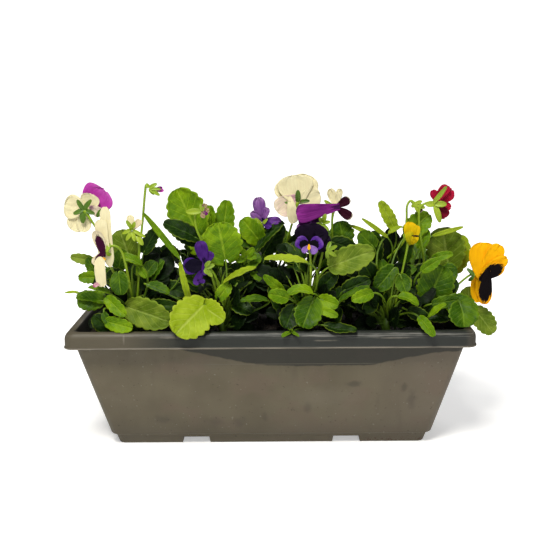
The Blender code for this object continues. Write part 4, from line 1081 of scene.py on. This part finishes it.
# Each flower: slot, centre, finish of its sepals, way points of its stalk, then petals and sepals, which are
# measured from the centre.
# petal: base (x, z), tip (x, y, z), width, how far behind the centre, finish, curl, ruffle, and the name of
# its outline where it isn't a plain petal's.
# sepal: base (x, z), tip (x, y, z), width.
FLOWERS = {
    "pansy_cream_left": dict(
        slot="petal_cream", centre=(-234, -20, 306), sepal="sepal",
        stalk=[(-233, -23, 305), (-225, -24, 292), (-219, -24, 281), (-212, -26, 262), (-204, -30, 236),
               (-180, -32, 190)],
        petals=[
            ((1, -2), (25, 4, 24), 58, 5, "magenta", -0.5, 1.4),
            ((1, -4), (10, 2, 19), 33, 2, "cream", -0.5, 0.7),
            ((4, -1), (-26, 2, 5), 42, 1, "cream", -0.6, 0.8),
            ((2, 4), (-17, 0, -27), 33, 0, "cream", -0.6, 0.8),
            ((1, 1), (-3, -1, -29), 25, -1, "cream", -0.5, 0.8),
            ((7, 4), (22, 0, -7), 18, -1, "blush", -0.6, 0.8),
        ],
        sepals=[((0, 0), (-7, -5, 13), 6), ((0, 0), (11, -5, 13), 6), ((0, 0), (-13, -5, -5), 6),
                ((0, 0), (-2, -5, -17), 8), ((0, 0), (14, -5, -5), 6), ((16, -9), (23, -4, 1), 5)],
    ),
    "pansy_cream_side": dict(
        slot="petal_cream", centre=(-204, -62, 260), sepal="stalk",
        stalk=[(-200, -60, 260), (-196, -60, 265), (-190, -60, 267), (-183, -58, 261), (-179, -54, 243),
               (-174, -42, 186)],
        petals=[
            ((7, -20), (4, 4, 55), 13, 3, "cream", 0.3, 0.3, "strap"),
            ((2, -8), (-1, 2, 40), 15, 1, "cream", 0.3, 0.4, "strap"),
            ((2, -6), (-6, -4, 28), 19, -2, "cream_blotch", -0.4, 0.5),
            ((3, 1), (-11, -5, -14), 15, -3, "cream_blotch", -0.4, 0.4),
            ((-3, -5), (-1, -8, -41), 13, -5, "cream", 0.6, 0.8, "strap"),
            ((-3, -36), (-10, -10, -39), 7, -9, "blush_tip", 0.8, 0.4),
            ((1, -6), (4, -2, -9), 4, -5, "yellow", 0.2, 0.1),
        ],
        sepals=[((5, 0), (9, 2, 11), 5), ((5, 0), (9, 2, -5), 5)],
    ),
    "pansy_cream_small": dict(
        slot="petal_cream", centre=(-171, -36, 284), sepal="sepal_light",
        stalk=[(-169, -35, 280), (-165, -35, 269), (-165, -35, 250), (-168, -36, 211), (-172, -34, 180)],
        petals=[
            ((0, -1), (-4, 3, 16), 13, 2, "cream", 0.5, 0.6),
            ((1, -1), (9, 4, 10), 12, 2, "cream_shade", 0.5, 0.6),
        ],
        sepals=[((0, 0), (-7, -4, 11), 5), ((0, 0), (4, -5, 9), 5), ((0, 0), (-13, -4, -6), 5),
                ((0, -3), (-8, -6, -14), 5), ((0, -3), (3, -7, -15), 5), ((0, -1), (16, -5, -10), 5),
                ((5, -8), (13, -7, -20), 7), ((0, 0), (-1, -8, 3), 6)],
    ),
    "pansy_violet_side": dict(
        slot="petal_violet", centre=(-81, -56, 241), sepal="sepal_light",
        stalk=[(-81, -44, 240), (-74, -43, 232), (-67, -41, 217), (-62, -38, 182)],
        petals=[
            ((1, 0), (-6, 5, 29), 22, 3, "violet", -0.3, 1.0),
            ((2, 2), (9, 5, 15), 14, 3, "violet", -0.3, 0.8),
            ((1, 0), (-26, -3, -1), 28, 0, "violet_dark", -0.5, 0.6),
            ((0, 8), (2, -2, -12), 12, -2, "violet", -0.4, 0.4),
            ((-1, -3), (-12, -4, -24), 13, -1, "violet", -0.5, 0.6),
            ((-9, -18), (1, -5, -19), 8, -3, "violet", 0.6, 0.3),
        ],
        sepals=[((1, -3), (13, -2, 1), 6), ((1, -3), (10, -4, -14), 6), ((1, -1), (8, -3, 6), 5),
                ((0, -5), (5, -5, -10), 5)],
    ),
    "pansy_mauve": dict(
        slot="petal_mauve", centre=(-11, 6, 285), sepal="sepal_light",
        stalk=[(-10, 8, 281), (-9, 12, 260), (-7, 20, 230), (-2, 34, 186)],
        petals=[
            ((0, -1), (-4, 2, 31), 22, 2, "mauve", 0.4, 2.2),
            ((1, -1), (8, 0, 18), 13, 0, "mauve", 0.4, 1.5),
            ((0, -1), (-13, -2, 13), 14, -1, "mauve", 0.5, 1.5),
            ((0, 1), (26, 0, 0), 14, 1, "violet_pale", -0.7, 1.2),
            ((0, 4), (12, -4, -8), 13, -2, "violet", -0.5, 1.0),
        ],
        sepals=[((1, -4), (-8, -5, 5), 4), ((1, -4), (8, -5, 4), 4)],
    ),
    "pansy_cream_tall": dict(
        slot="petal_cream", centre=(36, -8, 313), sepal="sepal",
        stalk=[(36, -10, 312), (33, -8, 299), (25, 2, 269), (14, 22, 228), (2, 36, 188)],
        petals=[
            ((0, -5), (-5, 3, 33), 62, 2, "cream", -0.4, 0.5),
            ((1, -3), (14, 6, 32), 46, 6, "cream", -0.4, 0.6),
            ((0, -3), (-24, 5, 24), 38, 4, "cream", -0.4, 0.6),
            ((1, 0), (29, 2, 8), 36, 2, "cream", -0.4, 0.7),
            ((-1, 6), (-27, 0, -14), 36, 1, "blush", -0.5, 0.9),
            ((-10, 6), (-5, -3, -28), 19, -2, "cream", 0.7, 0.7),
        ],
        sepals=[((0, -1), (0, -6, 15), 7), ((3, 0), (15, -5, 1), 5), ((-4, -3), (-17, -4, -1), 4)],
    ),
    "pansy_purple_folded": dict(
        slot="petal_mauve", centre=(66, -30, 290), sepal="sepal_light",
        stalk=[(66, -31, 287), (69, -30, 267), (64, -32, 238), (50, -38, 188)],
        petals=[
            ((22, 19), (-33, -2, 9), 27, 0, "purple", -0.6, 0.7, "fan"),
            ((2, 2), (-30, 2, 0), 20, 2, "purple_deep", -0.4, 0.4),
            ((-13, 0), (-32, 2, -9), 11, 3, "mauve", -0.4, 0.6),
        ],
        sepals=[((0, -3), (-9, -7, -2), 5), ((0, -1), (4, -7, 11), 6), ((0, -1), (10, -6, 1), 5),
                ((0, -3), (8, -7, -10), 5), ((0, -3), (-4, -8, -10), 5), ((0, 0), (-4, -8, 6), 5)],
    ),
    "pansy_maroon_side": dict(
        slot="petal_maroon", centre=(86, 0, 304), sepal="sepal_light",
        stalk=[(83, 1, 302), (81, 3, 284), (84, 8, 254), (102, 34, 188)],
        petals=[
            ((-1, 0), (-8, 3, 23), 15, 3, "cream", -0.3, 1.2),
            ((0, 0), (5, 3, 23), 12, 2, "cream", -0.3, 1.2),
            ((0, 0), (17, -2, 11), 16, 0, "maroon", -0.3, 0.5),
            ((0, -1), (20, -3, -14), 17, -1, "maroon", -0.3, 0.6),
            ((0, 1), (3, -4, -3), 5, -3, "yellow", 0.2, 0.1),
        ],
        sepals=[((-4, 0), (-16, -2, 9), 5), ((-4, -1), (-12, -3, 1), 4)],
    ),
    "pansy_dark_front": dict(
        slot="petal_violet", centre=(48, -60, 265), sepal="sepal_light",
        stalk=[(49, -55, 263), (50, -54, 250), (51, -52, 230), (50, -44, 188)],
        petals=[
            ((0, -1), (-8, 4, 25), 33, 4, "black", -0.3, 0.6),
            ((1, -1), (16, 5, 24), 38, 5, "black", -0.3, 0.6),
            ((2, 0), (28, 4, 4), 31, 4, "black", -0.3, 0.8),
            ((1, -3), (-15, -1, 9), 22, 1, "violet_face", -0.4, 0.5),
            ((0, -3), (16, -1, 8), 23, 1, "violet_face", -0.4, 0.5),
            ((0, 1), (-8, -3, -7), 10, -1, "lilac", -0.4, 0.4),
            ((1, 1), (9, -3, -8), 13, -1, "lilac", -0.4, 0.4),
            ((0, 3), (0, -5, -3), 5, -3, "yellow", -0.4, 0.1),
        ],
        sepals=[((22, -5), (35, 2, 0), 5), ((22, -5), (34, 0, -13), 5), ((22, -5), (23, 0, -16), 5),
                ((22, -5), (27, 3, 5), 5)],
    ),
    "pansy_crimson": dict(
        slot="petal_crimson", centre=(211, -4, 307), sepal="sepal_light",
        stalk=[(210, -4, 307), (202, -4, 309), (193, -4, 302), (193, -4, 280), (199, -3, 247), (209, 0, 190)],
        petals=[
            ((1, 1), (17, 2, 24), 19, 2, "crimson", 0.3, 1.6),
            ((4, 0), (24, 3, 18), 24, 3, "crimson", 0.3, 1.8),
            ((5, 1), (-2, 2, 18), 14, 2, "crimson", 0.3, 1.0),
            ((4, 1), (16, -1, -17), 20, 0, "crimson_deep", 0.3, 1.4),
            ((6, 0), (22, -1, -4), 14, 1, "crimson", 0.3, 1.2),
        ],
        sepals=[((-3, 1), (14, -6, 24), 6), ((0, 1), (15, -6, 1), 8), ((0, 0), (8, -5, -23), 8),
                ((0, 1), (-12, -4, 1), 8)],
    ),
    "pansy_yellow": dict(
        slot="petal_yellow", centre=(266, -25, 218), sepal="sepal",
        stalk=[(263, -24, 218), (257, -24, 218), (246, -22, 208), (235, -20, 196), (216, -6, 176)],
        petals=[
            ((6, -6), (8, 3, 42), 50, 4, "yellow", 0.3, 0.9),
            ((6, 0), (29, 3, 39), 30, 3, "yellow", 0.3, 0.9),
            ((5, 4), (38, 0, 22), 22, 1, "yellow", 0.3, 0.8),
            ((-1, 20), (6, 3, -39), 24, 5, "yellow", -0.3, 1.0),
            ((6, 14), (12, 2, -34), 26, 4, "yellow", -0.3, 1.0),
            ((3, -6), (32, -3, 15), 24, -1, "yellow_face", -0.3, 0.6),
            ((13, 9), (9, -4, -37), 24, -3, "yellow_face", -0.3, 0.8),
        ],
        sepals=[((-5, 1), (-13, 2, 9), 5), ((-5, 0), (-10, 2, -8), 5)],
    ),
    "bud_tall": dict(
        slot="leaf_bright", centre=(-151, -10, 331), sepal="stalk",
        stalk=[(-153, -10, 332), (-156, -10, 335), (-158, -10, 326), (-164, -10, 282), (-171, -14, 235),
               (-175, -26, 188)],
        petals=[
            ((6, -3), (17, -1, -3), 6, 0, "magenta", 0.2, 0.2),
            ((5, -1), (15, 1, 0), 6, 1, "purple", 0.2, 0.2),
            ((-1, 0), (10, 0, -4), 8, 0, "pale_green", 0.2, 0.1),
        ],
        sepals=[((-1, 1), (9, -2, 6), 5), ((-1, 0), (12, -3, -9), 5), ((-1, 0), (14, -3, -1), 4),
                ((-1, 0), (5, -2, -8), 5), ((-1, 1), (-5, -2, 6), 5)],
    ),
    "bud_withered": dict(
        slot="bud_brown", centre=(-84, -32, 305), sepal="sepal_light",
        stalk=[(-85, -31, 305), (-93, -31, 301), (-92, -32, 283), (-82, -34, 255), (-65, -38, 186)],
        petals=[
            ((0, -1), (5, -2, 9), 9, 0, "withered", 0.9, 1.4),
            ((0, 0), (9, -3, 1), 9, -1, "withered", 0.9, 1.4),
            ((0, 0), (2, -4, -8), 8, -2, "withered", 0.9, 1.4),
            ((1, 1), (7, -3, -4), 6, -2, "purple", 0.6, 0.8),
        ],
        sepals=[((-1, 0), (-20, -2, -1), 8), ((0, 0), (-2, -1, 9), 4), ((0, 0), (7, -1, 8), 4)],
    ),
    "bud_yellow": dict(
        slot="petal_yellow", centre=(178, -30, 266), sepal="stalk",
        stalk=[(175, -30, 265), (173, -31, 250), (168, -34, 225), (160, -38, 184)],
        petals=[
            ((-3, -2), (0, 2, 22), 22, 2, "yellow_bud", 1.0, 0.5),
            ((4, 0), (8, 1, 18), 13, 1, "yellow_bud", 1.0, 0.5),
            ((-1, -6), (-4, -4, 12), 15, -2, "yellow_green", 1.3, 0.4),
            ((1, -5), (5, -6, 8), 12, -3, "yellow_bud", 1.4, 0.3),
            ((0, 7), (7, -9, 8), 3, -8, "black", 0.9, 0.1),
        ],
        sepals=[((-4, 0), (-10, -3, 8), 5), ((-4, 0), (1, -5, 4), 5)],
    ),
    "bud_drooping": dict(
        slot="leaf_bright", centre=(187, 0, 307), sepal="sepal_light",
        stalk=[(186, 0, 308), (181, 0, 311), (177, 0, 303), (177, 0, 284), (172, 2, 253), (112, 34, 188)],
        petals=[
            ((1, 0), (9, -2, -10), 8, 0, "maroon", 0.5, 0.4),
            ((1, 0), (6, -2, -10), 7, -1, "crimson_deep", 0.5, 0.4),
        ],
        sepals=[((-1, 1), (13, -3, -5), 6), ((-1, 1), (9, -2, 4), 5), ((-1, 1), (4, -4, -10), 5),
                ((-1, 1), (-4, -3, -4), 5)],
    ),
}


def build_flower(name, parts):
    """One flower or bud: stalk, sepals and petals."""
    build = Builder()
    centre = Vector(parts["centre"])
    tube(build, smooth_line(parts["stalk"], 6), (2.2, 1.3, 1.3, 1.4, 1.6), "stalk")
    for i, ((x, z), tip, width, depth, finish, curl, ruffle, *outline) in enumerate(parts["petals"]):
        base = centre + Vector((x, depth, z))
        end = centre + Vector(tip) + Vector((0, depth, 0))
        shape = PETAL_OUTLINES[outline[0]] if outline else petal_width
        blade(
            build, base, end, width, FORWARD, finish, curl=curl, cup=0.1, ruffle=ruffle, shape=shape,
            across=16, along=26, seed=i * 1.9 + len(name), end=0.99, pucker=0.5,
        )
    for i, ((x, z), tip, width) in enumerate(parts["sepals"]):
        base = centre + Vector((x, -3, z))
        blade(build, base, centre + Vector(tip), width, FORWARD, parts["sepal"], curl=0.5, cup=0.3,
              across=6, along=12, seed=float(i))
    put(build.make(name + "_bloom", thickness=0.35), parts["slot"], name)


# ------------------------------------------------------------------ trough and soil

# Sections of the moulding: half x, half y, corner radius, z. The outside runs from the ground up, the inside
# down to the floor.
OUTER_WALL = (
    (200.3, 51.8, 9, 0.0), (201.2, 52.7, 9, 0.4), (201.6, 53.1, 9, 1.2), (205.0, 56.0, 9, 13.4),
    (205.6, 56.6, 9, 14.0), (209.8, 59.4, 11, 15.6), (210.5, 60.0, 11, 16.4), (226.5, 72.2, 11, 80.0),
)
INNER_WALL = (
    (224.0, 69.7, 11, 80.0), (208.0, 57.5, 11, 17.5), (202.3, 53.3, 9, 15.0), (202.0, 53.0, 9, 12.0),
)
# The rim, from the wall out, down its skirt, over the bead and back up to the inside: out from the wall's
# outer face, corner radius, up from the skirt's lower edge
RIM_SECTION = (
    (0, 11, -0.5), (0, 11, 17), (8, 12, 17.2), (8, 12, 0.4), (8.4, 12, 0), (10.9, 12, 0), (11.4, 12, 0.5),
    (11.4, 12, 1.6), (10.8, 12, 2.4), (10.5, 12, 3.4), (10.4, 12, 11), (10, 12, 13.8), (9, 12, 16.3),
    (7.4, 12, 18.3), (5.4, 12, 19.6), (3.4, 12, 20), (1.7, 11, 20), (-0.3, 11, 19.5), (-1.7, 11, 18.2),
    (-2.4, 11, 16.2), (-2.7, 11, 0),
)
# Half widths of a channel at the ground and at its roof, and how far its cutter runs to front and back
CHANNEL_HALF = (18.5, 17.0)
CHANNEL_REACH = 75


def rounded_ring(half_x, half_y, radius, z, steps=9):
    """Points around a rectangle with rounded corners."""
    ring = []
    for sign_x, sign_y, start in ((1, 1, 0), (-1, 1, 90), (-1, -1, 180), (1, -1, 270)):
        for k in range(steps + 1):
            angle = math.radians(start + 90 * k / steps)
            x = sign_x * (half_x - radius) + radius * math.cos(angle)
            y = sign_y * (half_y - radius) + radius * math.sin(angle)
            ring.append(Vector((x, y, z)))
    return ring


def cut_channel(moulding, number, x):
    """Cuts one channel from front to back under the trough, a little narrower at its roof."""
    cutter = Builder()
    low, high = CHANNEL_HALF
    corners = ((x - low, -2), (x + low, -2), (x + high, CHANNEL_TOP), (x - high, CHANNEL_TOP))
    rows = [[Vector((at_x, y, z)) for at_x, z in corners] for y in (-CHANNEL_REACH, CHANNEL_REACH)]
    cutter.grid(rows, [[(0, 0)] * 4] * 2, "trough", wrap=True)
    cutter.cap(list(reversed(rows[0])), "trough")
    cutter.cap(rows[-1], "trough")
    block = cutter.make(f"channel_block_{number}")
    weld(block)
    cut = moulding.modifiers.new(f"channel_{number}", "BOOLEAN")
    cut.solver = "EXACT"
    cut.operation = "DIFFERENCE"
    cut.object = block
    bpy.context.view_layer.objects.active = moulding
    bpy.ops.object.modifier_apply(modifier=cut.name)
    bpy.data.objects.remove(block, do_unlink=True)


def build_moulding():
    """The trough as one moulding, with rounded edges, cut by the two channels between its feet."""
    rim = [(WALL_X + out, WALL_Y + out, corner, SKIRT_LOW + up) for out, corner, up in RIM_SECTION]
    rings = [rounded_ring(*section) for section in (*OUTER_WALL, *rim, *INNER_WALL)]
    count = len(rings[0])
    coords = [[(k / count, i / len(rings)) for k in range(count)] for i in range(len(rings))]
    build = Builder()
    build.grid(rings, coords, "trough", wrap=True)
    build.cap(list(reversed(rings[0])), "trough")
    build.cap(rings[-1], "trough")
    moulding = build.make("trough_moulding")
    weld(moulding)
    for i, sign in enumerate((-1, 1)):
        cut_channel(moulding, i, sign * CHANNEL_X)
    moulding.data.set_sharp_from_angle(angle=math.radians(38))
    feet = ("foot_left", "foot_middle", "foot_right")
    put(moulding, "trough_plastic", "trough", "rim_skirt", "rim_top", *feet)


def weld(piece):
    """Joins the caps to the walls and turns every face outwards."""
    bm = bmesh.new()
    bm.from_mesh(piece.data)
    bmesh.ops.remove_doubles(bm, verts=bm.verts, dist=1e-6)
    bmesh.ops.recalc_face_normals(bm, faces=bm.faces)
    bm.to_mesh(piece.data)
    bm.free()


# Half sizes of the soil's surface, where its rounded corners begin, and the square of their radius
SOIL_HALF = (233.5, 79)
SOIL_CORNER = (222, 67)
SOIL_ROUND = 130
SOIL_STEPS = (150, 52)
CRUMBS = 420


def soil_height(x, y):
    """The surface of the soil: rough at three scales, and lower towards the walls."""
    place = Vector((x, y, 0)) / 1000
    rough = noise.noise(place * 30) * 3.0 + noise.noise(place * 90) * 1.6 + noise.noise(place * 260) * 0.9
    edge = max(abs(x) - 205, abs(y) - 55, 0)
    return SOIL_TOP + rough - edge * 0.1


def round_corner(x, y):
    """Draws a point of the soil's grid in to the rounded corners of the trough."""
    over_x = max(abs(x) - SOIL_CORNER[0], 0)
    over_y = max(abs(y) - SOIL_CORNER[1], 0)
    away = over_x**2 + over_y**2
    if away <= SOIL_ROUND:
        return x, y
    shrink = math.sqrt(SOIL_ROUND / away)
    if over_x:
        x = math.copysign(SOIL_CORNER[0] + over_x * shrink, x)
    if over_y:
        y = math.copysign(SOIL_CORNER[1] + over_y * shrink, y)
    return x, y


def add_crumb(build):
    """One loose lump on the soil."""
    x, y = random.uniform(-226, 226), random.uniform(-72, 72)
    centre = Vector((x, y, soil_height(x, y) + 0.4))
    size = random.uniform(0.8, 2.6)
    line = []
    for k in range(4):
        shift = Vector((random.uniform(-1, 1), random.uniform(-1, 1), k * 0.6))
        line.append(centre + shift * size * 0.5)
    tube(build, line, (size * 0.5, size, size * 0.8, size * 0.3), "soil", sides=6)


def build_soil():
    """The surface of the potting mix, with its crumbs, inside the walls."""
    build = Builder()
    across, deep = SOIL_STEPS
    rows = []
    coords = []
    for j in range(deep + 1):
        rows.append([])
        coords.append([])
        for i in range(across + 1):
            x = (i / across * 2 - 1) * SOIL_HALF[0]
            y = (j / deep * 2 - 1) * SOIL_HALF[1]
            x, y = round_corner(x, y)
            rows[-1].append(Vector((x, y, soil_height(x, y))))
            coords[-1].append((i / across, j / deep))
    build.grid(rows, coords, "soil")
    for _ in range(CRUMBS):
        add_crumb(build)
    put(build.make("potting_mix"), "soil", "soil")


# ------------------------------------------------------------------ stage


WHITE = (1.0, 1.0, 1.0)
FLOOR_HALF = 6.0

# name: place, the point it shines on, its two sides, watts, colour
LIGHTS = {
    "key": ((-0.35, -1.0, 1.85), (0.0, 0.0, 0.2), (0.6, 0.45), 33.0, (1.0, 0.97, 0.9)),
    "fill": ((0.5, -1.9, 0.7), (0.0, 0.0, 0.15), (1.0, 0.8), 6.0, WHITE),
    "back": ((0.3, 1.3, 1.5), (0.0, 0.0, 0.25), (1.0, 0.8), 10.0, WHITE),
}

CAMERA_PLACE = (0.0082, -0.952, 0.451)
CAMERA_DOWN = 14.1
CAMERA_ROLL = -0.37
CAMERA_LENS = 48.4
CAMERA_SENSOR = 36.0


def build_floor():
    """A pale floor that looks white to the camera further from the box."""
    mesh = bpy.data.meshes.new("floor")
    corners = [(x * FLOOR_HALF, y * FLOOR_HALF, 0) for x, y in ((-1, -1), (1, -1), (1, 1), (-1, 1))]
    mesh.from_pydata(corners, [], [(0, 1, 2, 3)])
    floor = bpy.data.objects.new("floor", mesh)
    bpy.context.scene.collection.objects.link(floor)
    made, n, shader = new_material("floor_white")
    shader.inputs["Base Color"].default_value = (0.9, 0.9, 0.9, 1.0)
    shader.inputs["Roughness"].default_value = 0.9
    shader.inputs["Specular IOR Level"].default_value = 0.1
    away = n.add("ShaderNodeVectorMath", operation="LENGTH")
    n.put(away.inputs[0], n.place())
    far = n.ramp(away.outputs["Value"], 0.25, 0.7, 0.4, 1.0)
    seen = n.add("ShaderNodeLightPath").outputs["Is Camera Ray"]
    shader.inputs["Emission Color"].default_value = (1.0, 1.0, 1.0, 1.0)
    n.put(shader.inputs["Emission Strength"], n.math("MULTIPLY", far, seen))
    mesh.materials.append(made)


def build_world():
    """A white surround, dim for lighting and bright where the camera sees it."""
    world = bpy.data.worlds.new("studio")
    world.use_nodes = True
    bpy.context.scene.world = world
    world.node_tree.nodes.clear()
    w = Nodes(world.node_tree)
    rays = w.add("ShaderNodeLightPath").outputs["Is Camera Ray"]
    background = w.add("ShaderNodeBackground")
    w.put(background.inputs["Color"], WHITE)
    w.put(background.inputs["Strength"], w.ramp(rays, 0.0, 1.0, 0.14, 1.1))
    w.put(w.add("ShaderNodeOutputWorld").inputs["Surface"], background.outputs[0])


def area_light(name, place, target, size, power, colour):
    """A rectangular lamp that shines on a point."""
    data = bpy.data.lights.new(name, "AREA")
    data.shape = "RECTANGLE"
    data.size, data.size_y = size
    data.energy = power
    data.color = colour
    made = bpy.data.objects.new(name, data)
    bpy.context.scene.collection.objects.link(made)
    made.location = place
    made.rotation_euler = (Vector(target) - Vector(place)).to_track_quat("-Z", "Y").to_euler()


def build_camera():
    """A camera in front of the box that looks slightly down on it."""
    scene = bpy.context.scene
    camera = bpy.data.objects.new("camera", bpy.data.cameras.new("camera"))
    scene.collection.objects.link(camera)
    camera.data.lens = CAMERA_LENS
    camera.data.sensor_width = CAMERA_SENSOR
    camera.location = CAMERA_PLACE
    tilt = Matrix.Rotation(math.radians(90 - CAMERA_DOWN), 3, "X")
    roll = Matrix.Rotation(math.radians(CAMERA_ROLL), 3, "Z")
    camera.rotation_euler = (tilt @ roll).to_euler()
    scene.camera = camera
    scene.view_settings.view_transform = "Standard"
    scene.view_settings.look = "None"


def build_stage():
    build_floor()
    build_world()
    for name, settings in LIGHTS.items():
        area_light(name, *settings)
    build_camera()


# ------------------------------------------------------------------ everything

build_moulding()
build_soil()
build_named_leaves()
build_small_leaves()
build_narrow_blades()
build_plants()
for flower, parts in FLOWERS.items():
    build_flower(flower, parts)
build_stage()
